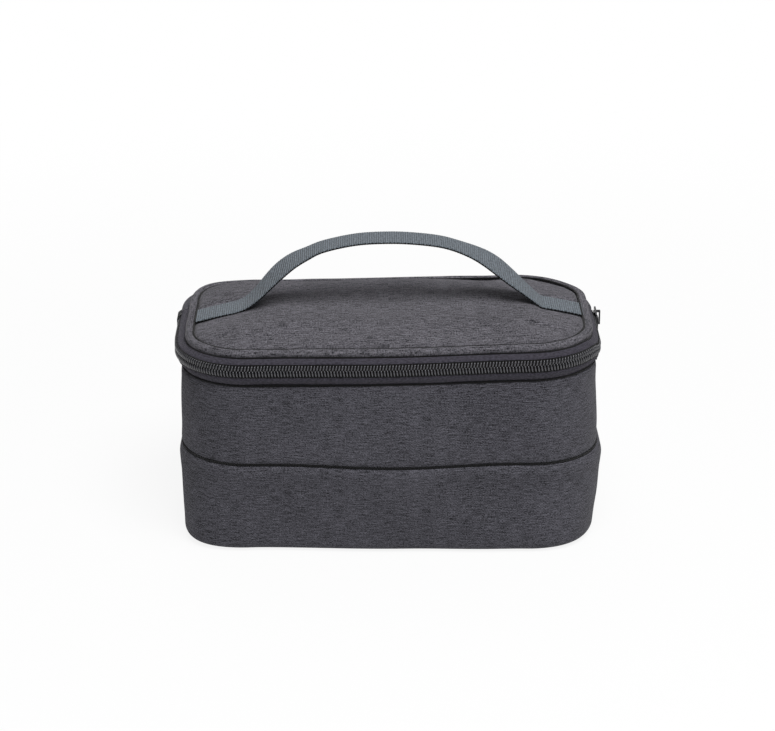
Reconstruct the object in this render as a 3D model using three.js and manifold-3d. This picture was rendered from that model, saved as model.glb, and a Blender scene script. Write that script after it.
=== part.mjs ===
// Insulated lunch bag: a soft box with a padded lid, a coil zip and a webbing handle.
// Millimetres, +Z up. The origin is the middle of the base, the front faces -Y.

import * as THREE from 'three';
import { mergeVertices } from 'three/addons/utils/BufferGeometryUtils.js';
import Module from 'manifold-3d';

// Plan of the bag's wall, and how far the lid's rolled edge lies inside it
const bagWidth = 231;
const bagDepth = 128;
const cornerRadius = 39;
const frontBowMiddle = 5.2;
const frontBowRim = 2.7;
const rimInset = 2.5;

// Heights of the seams
const baseFilletRadius = 5;
const middleSeamHeight = 52.8;
const wallTop = 98.7;
const lowerTapeReach = 9.7;
const lidCrownRise = 7.5;

// How far the wall stands out of the plan
const wallBulge = 1.2;
const seamLip = 0.8;

// Thickness of each layer
const coverThickness = 1;
const foamThickness = 4;
const linerThickness = 0.6;
const bindingThickness = 0.6;
const bindingDrop = 7;
const fitGap = 0.3;
const layerLap = 0.3;
const pipingRadius = 2.4;

// Zip
const tapeThickness = 0.5;
const tapeAllowance = 6.4;
const tapeStandOff = 1.1;
const chainWidth = 5.8;
const chainThickness = 2.4;
const toothPitch = 3.6;
const toothWidth = 1;
const toothOverlap = 1.8;
const toothRoom = 0.5;
const tapeStraight = 1.9;
const chainEndPastSlider = 2.5;
const tapeEndRoom = 0.3;

// Slider and pull
const sliderEndRoom = 7;
const sliderLength = 12;
const sliderPlate = 0.9;
const sliderNoseWidth = 8.6;
const sliderTailWidth = 9.6;
const sliderCornerRadius = 1.6;
const sliderFlange = 1;
const sliderSlotRoom = 0.35;
const sliderPostLength = 2;
const sliderPostWidth = 2;
const bridgeLength = 8;
const bridgeWidth = 2.4;
const bridgeBar = 0.8;
const bridgeRoom = 1.5;
const pullLength = 26;
const pullThickness = 0.8;
const pullBar = 1;
const pullWidth = 5.4;
const pullWindowLength = 5.8;
const pullWindowWidth = 3.2;
const pullTipRadius = 3.4;
const pullTipHole = 1.3;
const sliderRoom = 0.7;

// Webbing handle
const webbingWidth = 20;
const webbingThickness = 1.6;
const webbingLift = 0.5;
const handleCentreY = -1;
const handleRise = 162.4;
const archHalfSpan = 84.5;
const archPower = 2.9;
const gripHalfSpan = 66;
const footEndRoom = 0.6;
const webbingStep = 4;

// Fineness of the curved stretches
const cornerSteps = 5;
const frontSteps = 6;
const backSteps = 6;
const sideSteps = 2;
const filletSteps = 5;
const pipingSides = 8;
const domeRings = [1, 0.88, 0.68, 0.38];
const domePower = 4;
const plateCurveSteps = 4;

const zipHeight = wallTop + lowerTapeReach;
const pipingHeight = zipHeight + sliderTailWidth / 2 + sliderRoom + pipingRadius;
const pipingOffset = -(rimInset + pipingRadius);
const halfWidth = bagWidth / 2;
const halfDepth = bagDepth / 2;
const sideRun = halfDepth - cornerRadius;
const frontRun = halfWidth - cornerRadius;
const sliderPlace = sideRun - sliderEndRoom;

// Outward bow of the front at a height: most at mid wall, least at base and zip.
function bowAt(height) {
  const share = Math.min(height, wallTop) / wallTop;
  return frontBowRim + (frontBowMiddle - frontBowRim) * Math.sin(Math.PI * share);
}

// One place on the plan: the centre it turns about, its outward direction and its share of the bow.
function place(centreX, centreY, angle, bow = 0) {
  return { centreX, centreY, outX: Math.cos(angle), outY: Math.sin(angle), bow };
}

function cornerPlaces(centreX, centreY, firstAngle) {
  const places = [];
  for (let i = 0; i <= cornerSteps; i += 1) {
    const angle = firstAngle - (Math.PI / 2) * (i / cornerSteps);
    places.push(place(centreX, centreY, angle));
  }
  return places;
}

// Places strictly between the two ends of a straight side.
function sidePlaces(from, to, angle, steps, bowShare) {
  const places = [];
  for (let i = 1; i < steps; i += 1) {
    const share = i / steps;
    const centreX = from[0] + (to[0] - from[0]) * share;
    const centreY = from[1] + (to[1] - from[1]) * share;
    const bow = bowShare * 0.5 * (1 - Math.cos(2 * Math.PI * share));
    places.push(place(centreX, centreY, angle, bow));
  }
  return places;
}

// Front half of the plan, from the rear end of the right side round the front to the left side.
function frontPlaces() {
  return [
    place(frontRun, sideRun, 0),
    ...sidePlaces([frontRun, sideRun], [frontRun, -sideRun], 0, sideSteps, 0),
    ...cornerPlaces(frontRun, -sideRun, 0),
    ...sidePlaces([frontRun, -sideRun], [-frontRun, -sideRun], -Math.PI / 2, frontSteps, 1),
    ...cornerPlaces(-frontRun, -sideRun, -Math.PI / 2),
    ...sidePlaces([-frontRun, -sideRun], [-frontRun, sideRun], Math.PI, sideSteps, 0),
    place(-frontRun, sideRun, Math.PI),
  ];
}

// Rear of the plan, from the left side over the flat back to the right side.
function rearPlaces() {
  return [
    ...cornerPlaces(-frontRun, sideRun, Math.PI),
    ...sidePlaces([-frontRun, sideRun], [frontRun, sideRun], Math.PI / 2, backSteps, 0),
    ...cornerPlaces(frontRun, sideRun, Math.PI / 2),
  ];
}

// The whole plan as a closed loop.
function allPlaces() {
  return [...frontPlaces(), ...rearPlaces().slice(1, -1)];
}

function pointAt(spot, offset, height) {
  const reach = cornerRadius + offset + spot.bow * bowAt(height);
  return [spot.centreX + spot.outX * reach, spot.centreY + spot.outY * reach, height];
}

// A closed geometry from points and triangles, turned so that its faces point out.
function closedGeometry(points, faces) {
  const corner = (i) => new THREE.Vector3(...points[i]);
  let volume = 0;
  for (const [a, b, c] of faces) {
    volume += corner(a).dot(corner(b).cross(corner(c)));
  }
  const turned = volume < 0 ? faces.map(([a, b, c]) => [a, c, b]) : faces;
  const geometry = new THREE.BufferGeometry();
  geometry.setAttribute('position', new THREE.Float32BufferAttribute(points.flat(), 3));
  geometry.setIndex(turned.flat());
  return geometry;
}

// Sides of a lofted body between rings of equal length. Each side is split from its lower corner
// to the next ring's upper corner, so that layers that lie on each other keep their gap.
function ringFaces(rings, closed) {
  const faces = [];
  const size = rings[0].length;
  const spans = closed ? rings.length : rings.length - 1;
  for (let i = 0; i < spans; i += 1) {
    const here = i * size;
    const next = ((i + 1) % rings.length) * size;
    for (let j = 0; j < size; j += 1) {
      const k = (j + 1) % size;
      if (rings[i][k][2] >= rings[i][j][2]) {
        faces.push([here + j, next + j, next + k], [here + j, next + k, here + k]);
      } else {
        faces.push([here + j, next + j, here + k], [here + k, next + j, next + k]);
      }
    }
  }
  return faces;
}

// A body through rings of points. With an outline its two ends are closed, else it joins up.
function loft(rings, outline = null) {
  const size = rings[0].length;
  const faces = ringFaces(rings, outline === null);
  if (outline !== null) {
    const corners = outline.map(([across, up]) => new THREE.Vector2(across, up));
    const clockwise = THREE.ShapeUtils.isClockWise(corners);
    const last = (rings.length - 1) * size;
    for (const [a, b, c] of THREE.ShapeUtils.triangulateShape(corners, [])) {
      const [p, q] = clockwise ? [c, b] : [b, c];
      faces.push([a, p, q], [last + a, last + q, last + p]);
    }
  }
  return closedGeometry(rings.flat(), faces);
}

// A section of [offset, height] points carried round the given places.
function sweep(places, section, closed) {
  const rings = places.map((spot) => section.map(([offset, height]) => pointAt(spot, offset, height)));
  return loft(rings, closed ? null : section);
}

// A section of even thickness along a line of [offset, height] points, counted anticlockwise.
function strip(line, thickness) {
  const left = [];
  const right = [];
  line.forEach(([offset, height], i) => {
    const before = line[Math.max(i - 1, 0)];
    const after = line[Math.min(i + 1, line.length - 1)];
    const into = new THREE.Vector2(offset - before[0], height - before[1]);
    const out = new THREE.Vector2(after[0] - offset, after[1] - height);
    const first = (into.length() > 0 ? into : out).normalize();
    const second = (out.length() > 0 ? out : first.clone()).normalize();
    const along = first.clone().add(second).normalize();
    const half = thickness / 2 / along.dot(second);
    left.push([offset - along.y * half, height + along.x * half]);
    right.push([offset + along.y * half, height - along.x * half]);
  });
  return [...right, ...left.reverse()];
}

// A flat plate that fills the plan, with its own offset at its lower and its upper face.
function flatPlate(lowerOffset, upperOffset, bottom, thickness) {
  const lower = allPlaces().map((spot) => pointAt(spot, lowerOffset, bottom));
  const upper = allPlaces().map((spot) => pointAt(spot, upperOffset, bottom + thickness));
  return loft([lower, upper], lower);
}

// Height of the lid's crowned top, from 0 at its middle to 1 at its edge.
const lidEdgeOffset = pipingOffset - pipingRadius - fitGap;
const lidEdgeHeight = pipingHeight + fitGap;
function crownHeight(share) {
  return lidEdgeHeight + lidCrownRise * (1 - share ** domePower);
}

// A crowned sheet of the lid, some way below its top.
function crownedSheet(drop, thickness) {
  const edge = allPlaces().map((spot) => pointAt(spot, lidEdgeOffset, pipingHeight));
  const ringAt = (share, under) =>
    edge.map(([x, y]) => [x * share, y * share, crownHeight(share) - under]);
  const upper = domeRings.map((share) => ringAt(share, drop));
  const lower = domeRings.map((share) => ringAt(share, drop + thickness));
  const rings = [...upper.reverse(), ...lower];
  const points = rings.flat();
  const faces = ringFaces(rings, false);
  const topCentre = points.length;
  const bottomCentre = topCentre + 1;
  const lastRing = points.length - edge.length;
  edge.forEach((_, j) => {
    const k = (j + 1) % edge.length;
    faces.push([j, k, topCentre], [lastRing + k, lastRing + j, bottomCentre]);
  });
  points.push([0, 0, crownHeight(0) - drop], [0, 0, crownHeight(0) - drop - thickness]);
  return closedGeometry(points, faces);
}

// Wall layers, each set by its depth inside the outer face
function wallFace(height) {
  if (height > middleSeamHeight) {
    const share = (wallTop - height) / (wallTop - middleSeamHeight);
    return wallBulge * Math.sin((Math.PI / 2) * share);
  }
  const rise = Math.max(height - baseFilletRadius - fitGap, 0);
  const share = rise / (middleSeamHeight - baseFilletRadius - fitGap);
  return wallBulge * Math.sin((Math.PI / 2) * share);
}

// The rounded lower edge at a depth, from its lowest point up to the wall.
function filletLine(depth) {
  const line = [];
  const radius = baseFilletRadius - depth;
  for (let i = 0; i <= filletSteps; i += 1) {
    const turn = (Math.PI / 2) * (i / filletSteps);
    const offset = -baseFilletRadius + radius * Math.sin(turn);
    line.push([offset, fitGap + baseFilletRadius - radius * Math.cos(turn)]);
  }
  return line;
}

const lowerMiddle = (baseFilletRadius + middleSeamHeight) / 2;
const upperMiddle = (middleSeamHeight + wallTop) / 2;
const foamDepth = coverThickness + fitGap;
const linerDepth = foamDepth + foamThickness + fitGap;
const allowanceBottom = wallTop - tapeAllowance;
const foamStep = allowanceBottom - fitGap;
const allowanceDepth = foamDepth + tapeThickness + fitGap;
const foamTop = wallTop - bindingThickness - 2 * fitGap;

function lowerWallCover() {
  const top = middleSeamHeight - fitGap / 2;
  const outer = [
    ...filletLine(0),
    [wallFace(lowerMiddle), lowerMiddle],
    [wallFace(top) + seamLip, top],
  ];
  const inner = [
    ...filletLine(coverThickness),
    [wallFace(lowerMiddle) - coverThickness, lowerMiddle],
    [wallFace(top) - coverThickness, top],
  ];
  return sweep(allPlaces(), [...outer, ...inner.reverse()], true);
}

function upperWallCover() {
  const bottom = middleSeamHeight + fitGap / 2;
  const heights = [bottom, upperMiddle, foamStep, wallTop];
  const outer = heights.map((height) => [wallFace(height), height]);
  const inner = heights.map((height) => [wallFace(height) - coverThickness, height]);
  return sweep(allPlaces(), [...outer, ...inner.reverse()], true);
}

const baseFoamBottom = coverThickness + fitGap;
const baseFoamTop = baseFoamBottom + foamThickness;
const baseLinerBottom = baseFoamTop + fitGap;
const wallLayerBottom = baseLinerBottom + linerThickness + fitGap + layerLap;

// Lines of the wall's hidden faces, from low to high.
function hiddenWallLine(depth, heights) {
  return [wallLayerBottom, ...heights].map((height) => [wallFace(height) - depth, height]);
}

function wallFoam() {
  const outer = [
    ...hiddenWallLine(foamDepth, [lowerMiddle, middleSeamHeight, upperMiddle, foamStep]),
    [wallFace(foamStep) - allowanceDepth, foamStep],
    [wallFace(foamTop) - allowanceDepth, foamTop],
  ];
  const innerDepth = foamDepth + foamThickness;
  const heights = [lowerMiddle, middleSeamHeight, upperMiddle, foamTop];
  const inner = hiddenWallLine(innerDepth, heights);
  return sweep(allPlaces(), [...outer, ...inner.reverse()], true);
}

function wallLiner() {
  const heights = [lowerMiddle, middleSeamHeight, upperMiddle, foamTop];
  const outer = hiddenWallLine(linerDepth, heights);
  const inner = hiddenWallLine(linerDepth + linerThickness, heights);
  return sweep(allPlaces(), [...outer, ...inner.reverse()], true);
}

// Binding folded over the top edge of foam and liner and down the inside.
function mouthBinding() {
  const top = foamTop + fitGap + bindingThickness;
  const shelf = foamTop + fitGap;
  const bottom = foamTop - bindingDrop;
  const inside = linerDepth + linerThickness + fitGap;
  const section = [
    [-allowanceDepth, shelf],
    [-allowanceDepth, top],
    [wallFace(top) - inside - bindingThickness, top],
    [wallFace(bottom) - inside - bindingThickness, bottom],
    [wallFace(bottom) - inside, bottom],
    [wallFace(shelf) - inside, shelf],
  ];
  return sweep(allPlaces(), section, true);
}

// Zip tapes: straight beside the chain, then drawn in to the wall and to the lid's edge
const chainHalf = chainWidth / 2;
const tapeLow = zipHeight - chainHalf - fitGap;
const tapeHigh = zipHeight + chainHalf + fitGap;
const tapeDepth = -(coverThickness + fitGap + tapeThickness / 2);
const wallTapeLine = [
  [wallFace(allowanceBottom) + tapeDepth, allowanceBottom],
  [tapeDepth, wallTop + fitGap],
  [tapeStandOff, tapeLow - tapeStraight],
];
const lidTapeLine = [
  [tapeStandOff, tapeHigh + tapeStraight],
  [fitGap + tapeThickness / 2 - rimInset, pipingHeight - fitGap],
];

function zipTapeLower() {
  return sweep(frontPlaces(), strip([...wallTapeLine, [tapeStandOff, tapeLow]], tapeThickness), false);
}

function zipTapeUpper() {
  return sweep(frontPlaces(), strip([[tapeStandOff, tapeHigh], ...lidTapeLine], tapeThickness), false);
}

// Fabric band that carries on from the tapes round the rear corners and the back.
function rearHingeBand() {
  const places = rearPlaces();
  const turn = tapeEndRoom / (cornerRadius + tapeStandOff);
  places[0] = place(-frontRun, sideRun, Math.PI - turn);
  places[places.length - 1] = place(frontRun, sideRun, turn);
  return sweep(places, strip([...wallTapeLine, ...lidTapeLine], tapeThickness), false);
}

// Run of the chain: [length along it, place on the plan at that length]
const chainReach = cornerRadius + tapeStandOff;
const chainSideRun = sliderPlace + chainEndPastSlider + sideRun;
const cornerRun = (Math.PI / 2) * chainReach;
const chainFrontRun = 2 * frontRun;
const chainLength = 2 * chainSideRun + 2 * cornerRun + chainFrontRun;

function chainPlace(length) {
  const chainStart = sliderPlace + chainEndPastSlider;
  const firstCorner = chainSideRun;
  const front = firstCorner + cornerRun;
  const secondCorner = front + chainFrontRun;
  const lastSide = secondCorner + cornerRun;
  if (length < firstCorner) {
    return place(frontRun, chainStart - length, 0);
  }
  if (length < front) {
    return place(frontRun, -sideRun, -(length - firstCorner) / chainReach);
  }
  if (length < secondCorner) {
    const share = (length - front) / chainFrontRun;
    const bow = 0.5 * (1 - Math.cos(2 * Math.PI * share));
    return place(frontRun - (length - front), -sideRun, -Math.PI / 2, bow);
  }
  if (length < lastSide) {
    return place(-frontRun, -sideRun, -Math.PI / 2 - (length - secondCorner) / chainReach);
  }
  return place(-frontRun, -sideRun + (length - lastSide), Math.PI);
}

// One row of the zip: a spine with teeth that mesh with the other row's teeth.
// side is 1 for the upper row and -1 for the lower row, shift is its place along the chain.
function zipRow(side, shift) {
  const spineEdge = zipHeight + side * chainHalf;
  const tip = zipHeight - side * (toothOverlap / 2);
  const root = zipHeight + side * (toothOverlap / 2 + toothRoom);
  const points = [];
  const faces = [];
  const column = (length) => {
    const first = points.length;
    for (const height of [spineEdge, root, tip]) {
      for (const face of [-1, 1]) {
        points.push(pointAt(chainPlace(length), tapeStandOff + face * (chainThickness / 2), height));
      }
    }
    return { edge: [first, first + 1], root: [first + 2, first + 3], tip: [first + 4, first + 5] };
  };
  const quad = (a, b, c, d) => faces.push([a, b, c], [a, c, d]);
  const spineSpan = (here, next, open) => {
    quad(here.edge[0], next.edge[0], next.edge[1], here.edge[1]);
    quad(here.edge[1], next.edge[1], next.root[1], here.root[1]);
    quad(here.root[0], next.root[0], next.edge[0], here.edge[0]);
    if (open) {
      quad(here.root[1], next.root[1], next.root[0], here.root[0]);
    }
  };
  const tooth = (here, next) => {
    quad(here.root[1], next.root[1], next.tip[1], here.tip[1]);
    quad(here.tip[0], next.tip[0], next.root[0], here.root[0]);
    quad(here.tip[1], next.tip[1], next.tip[0], here.tip[0]);
    quad(here.root[0], here.root[1], here.tip[1], here.tip[0]);
    quad(next.tip[0], next.tip[1], next.root[1], next.root[0]);
  };
  const start = column(0);
  quad(start.edge[0], start.edge[1], start.root[1], start.root[0]);
  let here = start;
  const toothCount = Math.floor((chainLength - shift - toothWidth) / toothPitch);
  for (let i = 0; i < toothCount; i += 1) {
    const from = column(shift + i * toothPitch + toothRoom);
    const to = column(shift + i * toothPitch + toothRoom + toothWidth);
    spineSpan(here, from, true);
    spineSpan(from, to, false);
    tooth(from, to);
    here = to;
  }
  const end = column(chainLength);
  spineSpan(here, end, true);
  quad(end.root[0], end.root[1], end.edge[1], end.edge[0]);
  const geometry = closedGeometry(points, faces);
  return mergeVertices(geometry);
}

function lidPiping() {
  const section = [];
  for (let i = 0; i < pipingSides; i += 1) {
    const angle = (2 * Math.PI * i) / pipingSides;
    const offset = pipingOffset + pipingRadius * Math.cos(angle);
    section.push([offset, pipingHeight + pipingRadius * Math.sin(angle)]);
  }
  return sweep(allPlaces(), section, true);
}

// Binding under the piping that covers the raw edges of the lid's layers.
function lidBinding() {
  const top = pipingHeight - pipingRadius - fitGap;
  const line = [[pipingOffset, top - bindingDrop], [pipingOffset, top]];
  return sweep(allPlaces(), strip(line, bindingThickness), true);
}

// Height of the webbing's middle at a distance from the bag's centre plane.
const lidEdgeX = halfWidth + lidEdgeOffset;
function webbingHeight(x) {
  const onLid = crownHeight(Math.min(Math.abs(x) / lidEdgeX, 1)) + webbingLift + webbingThickness / 2;
  const archFoot = crownHeight(archHalfSpan / lidEdgeX);
  const archRise = handleRise - archFoot;
  const arch = archFoot + archRise * (1 - (Math.abs(x) / archHalfSpan) ** archPower);
  return Math.max(onLid, arch);
}

// A stretch of the webbing between two places across the bag.
function webbing(fromX, toX) {
  const steps = Math.ceil(Math.abs(toX - fromX) / webbingStep);
  const line = [];
  for (let i = 0; i <= steps; i += 1) {
    const x = fromX + ((toX - fromX) * i) / steps;
    line.push([x, webbingHeight(x)]);
  }
  const half = webbingWidth / 2;
  const rim = strip(line, webbingThickness);
  const edges = [-half, half].map((side) => rim.map(([x, z]) => [x, handleCentreY + side, z]));
  return loft(edges, rim);
}

// Booleans for the slider
const wasm = await Module();
wasm.setup();

function solidOf(geometry) {
  const bare = geometry.clone();
  bare.deleteAttribute('normal');
  bare.deleteAttribute('uv');
  const merged = mergeVertices(bare);
  return new wasm.Manifold(new wasm.Mesh({
    numProp: 3,
    vertProperties: Float32Array.from(merged.attributes.position.array),
    triVerts: Uint32Array.from(merged.index.array),
  }));
}

function geometryOf(solid) {
  const mesh = solid.getMesh();
  const geometry = new THREE.BufferGeometry();
  geometry.setAttribute('position', new THREE.BufferAttribute(mesh.vertProperties, 3));
  geometry.setIndex(new THREE.BufferAttribute(mesh.triVerts, 1));
  return geometry;
}

// Ways to turn a flat outline: drawn along the zip and upwards, or hanging down across the zip.
const alongZip = new THREE.Matrix4().makeBasis(
  new THREE.Vector3(0, 1, 0),
  new THREE.Vector3(0, 0, 1),
  new THREE.Vector3(1, 0, 0),
);
const hanging = new THREE.Matrix4().makeBasis(
  new THREE.Vector3(0, 0, -1),
  new THREE.Vector3(0, 1, 0),
  new THREE.Vector3(1, 0, 0),
);

// A flat outline given thickness outwards from the wall.
function plateOf(shape, inner, thickness, turned) {
  const geometry = new THREE.ExtrudeGeometry(shape, {
    depth: thickness,
    bevelEnabled: false,
    curveSegments: plateCurveSteps,
  });
  geometry.applyMatrix4(turned);
  return geometry.translate(halfWidth + inner, sliderPlace, zipHeight);
}

// A block along the zip, given by its two corners in offset, run and height.
function block(low, high) {
  const size = high.map((value, i) => value - low[i]);
  const middle = high.map((value, i) => (value + low[i]) / 2);
  const geometry = new THREE.BoxGeometry(...size);
  return geometry.translate(halfWidth + middle[0], sliderPlace + middle[1], zipHeight + middle[2]);
}


// Room of the chain inside the slider, and the slider's outer face
const channelInner = tapeStandOff - chainThickness / 2 - fitGap;
const channelOuter = tapeStandOff + chainThickness / 2 + fitGap;
const sliderFace = channelOuter + sliderPlate;

// Plan of a slider plate: narrow at the nose that faces the closed chain, wide at the tail.
function sliderOutline() {
  const nose = -sliderLength / 2;
  const tail = sliderLength / 2;
  const noseHalf = sliderNoseWidth / 2;
  const tailHalf = sliderTailWidth / 2;
  const shape = new THREE.Shape();
  shape.moveTo(nose + sliderCornerRadius, -noseHalf);
  shape.lineTo(tail - sliderCornerRadius, -tailHalf);
  shape.quadraticCurveTo(tail, -tailHalf, tail, -tailHalf + sliderCornerRadius);
  shape.lineTo(tail, tailHalf - sliderCornerRadius);
  shape.quadraticCurveTo(tail, tailHalf, tail - sliderCornerRadius, tailHalf);
  shape.lineTo(nose + sliderCornerRadius, noseHalf);
  shape.quadraticCurveTo(nose, noseHalf, nose, noseHalf - sliderCornerRadius);
  shape.lineTo(nose, -noseHalf + sliderCornerRadius);
  shape.quadraticCurveTo(nose, -noseHalf, nose + sliderCornerRadius, -noseHalf);
  return shape;
}

function zipSlider() {
  const outline = sliderOutline();
  const nose = -sliderLength / 2 + sliderCornerRadius;
  const tail = sliderLength / 2;
  const postFrom = chainEndPastSlider + fitGap;
  const postHalf = sliderPostWidth / 2;
  const slotInner = tapeStandOff - tapeThickness / 2 - sliderSlotRoom;
  const slotOuter = tapeStandOff + tapeThickness / 2 + sliderSlotRoom;
  const flangeIn = chainHalf + fitGap;
  const flangeOut = flangeIn + sliderFlange;
  const innerPlate = solidOf(plateOf(outline, channelInner - sliderPlate, sliderPlate, alongZip));
  const outerPlate = solidOf(plateOf(outline, channelOuter, sliderPlate, alongZip));
  const plateMiddle = sliderPlate / 2;
  const postLow = [channelInner - plateMiddle, postFrom, -postHalf];
  const postHigh = [channelOuter + plateMiddle, postFrom + sliderPostLength, postHalf];
  let slider = innerPlate.add(outerPlate).add(solidOf(block(postLow, postHigh)));
  for (const side of [-1, 1]) {
    const low = Math.min(side * flangeIn, side * flangeOut);
    const high = Math.max(side * flangeIn, side * flangeOut);
    const innerFlange = block([channelInner - plateMiddle, nose, low], [slotInner, 0, high]);
    const outerFlange = block([slotOuter, nose, low], [channelOuter + plateMiddle, 0, high]);
    slider = slider.add(solidOf(innerFlange)).add(solidOf(outerFlange));
  }
  const bridgeHalf = bridgeLength / 2;
  const crown = sliderFace + bridgeRoom;
  const widthHalf = bridgeWidth / 2;
  const foot = channelOuter + plateMiddle;
  const bridge = [
    block([foot, -widthHalf, -bridgeHalf], [crown + bridgeBar, widthHalf, bridgeBar - bridgeHalf]),
    block([foot, -widthHalf, bridgeHalf - bridgeBar], [crown + bridgeBar, widthHalf, bridgeHalf]),
    block([crown, -widthHalf, -bridgeHalf], [crown + bridgeBar, widthHalf, bridgeHalf]),
  ];
  for (const piece of bridge) {
    slider = slider.add(solidOf(piece));
  }
  return geometryOf(slider.intersect(solidOf(block(
    [channelInner - sliderPlate, -sliderLength, -sliderLength],
    [crown + bridgeBar, tail, sliderLength],
  ))));
}

// Pull tab: a flat tongue that hangs down, with a window whose end bar lies under the bridge.
function zipPull() {
  const barEnd = -pullBar / 2;
  const half = pullWidth / 2;
  const tipCentre = pullLength - pullTipRadius;
  const shape = new THREE.Shape();
  shape.moveTo(barEnd, -half);
  shape.lineTo(pullWindowLength + 2 * pullBar, -half);
  shape.quadraticCurveTo(tipCentre / 2, -half + pullBar, tipCentre, -pullTipRadius);
  shape.absarc(tipCentre, 0, pullTipRadius, -Math.PI / 2, Math.PI / 2, false);
  shape.quadraticCurveTo(tipCentre / 2, half - pullBar, pullWindowLength + 2 * pullBar, half);
  shape.lineTo(barEnd, half);
  shape.closePath();
  const window = new THREE.Path();
  window.moveTo(-barEnd, -pullWindowWidth / 2);
  window.lineTo(-barEnd, pullWindowWidth / 2);
  window.lineTo(-barEnd + pullWindowLength, pullWindowWidth / 2);
  window.lineTo(-barEnd + pullWindowLength, -pullWindowWidth / 2);
  window.closePath();
  const hole = new THREE.Path();
  hole.absarc(tipCentre, 0, pullTipHole, 0, 2 * Math.PI, true);
  shape.holes.push(window, hole);
  return plateOf(shape, sliderFace + (bridgeRoom - pullThickness) / 2, pullThickness, hanging);
}

// Finishes
const fabric = { color: 0x4a494f, roughness: 0.92, metalness: 0 };
const lidFabric = { color: 0x5d5c62, roughness: 0.92, metalness: 0 };
const foam = { color: 0xe9e8e4, roughness: 0.85, metalness: 0 };
const foil = { color: 0xc6c9cd, roughness: 0.35, metalness: 0.8 };
const binding = { color: 0x2c2b30, roughness: 0.9, metalness: 0 };
const tape = { color: 0x3d3c43, roughness: 0.9, metalness: 0 };
const coil = { color: 0x17171a, roughness: 0.3, metalness: 0 };
const webbingFinish = { color: 0x6b7178, roughness: 0.8, metalness: 0 };
const gunmetal = { color: 0x303034, roughness: 0.35, metalness: 0.9 };

const bag = new THREE.Group();
function add(name, geometry, finish) {
  const mesh = new THREE.Mesh(geometry, new THREE.MeshStandardMaterial(finish));
  mesh.name = name;
  bag.add(mesh);
}

const plateEdge = -(baseFilletRadius + fitGap);

add('base_cover', flatPlate(plateEdge, plateEdge, 0, coverThickness), fabric);
add('lower_wall_cover', lowerWallCover(), fabric);
add('upper_wall_cover', upperWallCover(), fabric);
add('base_foam', flatPlate(plateEdge, -foamDepth, baseFoamBottom, foamThickness), foam);
add('wall_foam', wallFoam(), foam);
add('base_liner', flatPlate(-foamDepth, -foamDepth, baseLinerBottom, linerThickness), foil);
add('wall_liner', wallLiner(), foil);
add('mouth_binding', mouthBinding(), binding);
add('zip_tape_lower', zipTapeLower(), tape);
add('zip_coil_lower', zipRow(-1, 0), coil);
add('rear_hinge_band', rearHingeBand(), fabric);
add('lid_cover', crownedSheet(0, coverThickness), lidFabric);
add('lid_foam', crownedSheet(foamDepth, foamThickness), foam);
add('lid_liner', crownedSheet(linerDepth, linerThickness), foil);
add('lid_piping', lidPiping(), lidFabric);
add('lid_binding', lidBinding(), binding);
add('zip_tape_upper', zipTapeUpper(), tape);
add('zip_coil_upper', zipRow(1, toothPitch / 2), coil);
add('handle_foot_left', webbing(footEndRoom - lidEdgeX, -gripHalfSpan - fitGap), webbingFinish);
add('handle_foot_right', webbing(gripHalfSpan + fitGap, lidEdgeX - footEndRoom), webbingFinish);
add('handle_grip', webbing(-gripHalfSpan, gripHalfSpan), webbingFinish);
add('zip_slider', zipSlider(), gunmetal);
add('zip_pull', zipPull(), gunmetal);

export default bag;
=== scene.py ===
"""Insulated lunch bag, dressed: a sagging fabric box with a padded lid, a coil zip and a webbing handle."""

import logging
import math
from dataclasses import dataclass
from enum import Enum, IntEnum
from typing import Callable, Optional, Sequence

import bmesh
import bpy
import numpy as np
from mathutils import Matrix, Vector


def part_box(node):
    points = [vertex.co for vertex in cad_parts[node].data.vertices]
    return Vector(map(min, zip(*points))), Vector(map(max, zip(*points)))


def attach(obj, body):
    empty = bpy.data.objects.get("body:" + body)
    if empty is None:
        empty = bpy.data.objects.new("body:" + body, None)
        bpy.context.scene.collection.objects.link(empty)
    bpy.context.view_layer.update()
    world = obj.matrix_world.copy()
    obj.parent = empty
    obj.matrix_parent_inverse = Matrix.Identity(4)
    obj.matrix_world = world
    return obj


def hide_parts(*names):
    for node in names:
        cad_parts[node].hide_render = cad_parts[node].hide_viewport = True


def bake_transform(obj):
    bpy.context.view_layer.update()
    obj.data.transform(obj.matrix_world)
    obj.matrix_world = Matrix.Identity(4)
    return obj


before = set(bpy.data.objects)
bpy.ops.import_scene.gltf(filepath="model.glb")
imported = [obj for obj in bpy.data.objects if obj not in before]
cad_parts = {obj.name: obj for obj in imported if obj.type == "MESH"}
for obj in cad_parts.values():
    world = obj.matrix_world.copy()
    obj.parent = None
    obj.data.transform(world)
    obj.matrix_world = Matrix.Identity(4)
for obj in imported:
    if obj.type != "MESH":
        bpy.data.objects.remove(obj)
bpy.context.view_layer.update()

LOG = logging.getLogger("lunch_bag")
MM = 0.001
WEAVE_UV = "weave"
WAVE_SPREAD = (0.6, 1.6)
CORD_SPREAD = 6.0
ROLL_INSET = 2.5
SEAM_DROP = 1.1
STRAP_LEVEL = 122.0
Array = np.ndarray
Colour = tuple[float, float, float]
Pair = tuple[float, float]
Object = bpy.types.Object
Material = bpy.types.Material
Socket = bpy.types.NodeSocket
Relief = Callable[[Array, Array, Array], Array]


class Body(str, Enum):
    """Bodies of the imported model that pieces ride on."""

    BAG = "bag"
    LID = "lid"
    HANDLE = "handle"
    SLIDER = "slider"
    PULL = "pull"


class Slot(str, Enum):
    """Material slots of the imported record."""

    WALL = "wall_fabric"
    LID = "lid_fabric"
    FOAM = "foam"
    FOIL = "foil_liner"
    BINDING = "binding"
    TAPE = "zip_tape"
    COIL = "zip_coil"
    WEBBING = "webbing"
    METAL = "slider_metal"


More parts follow.
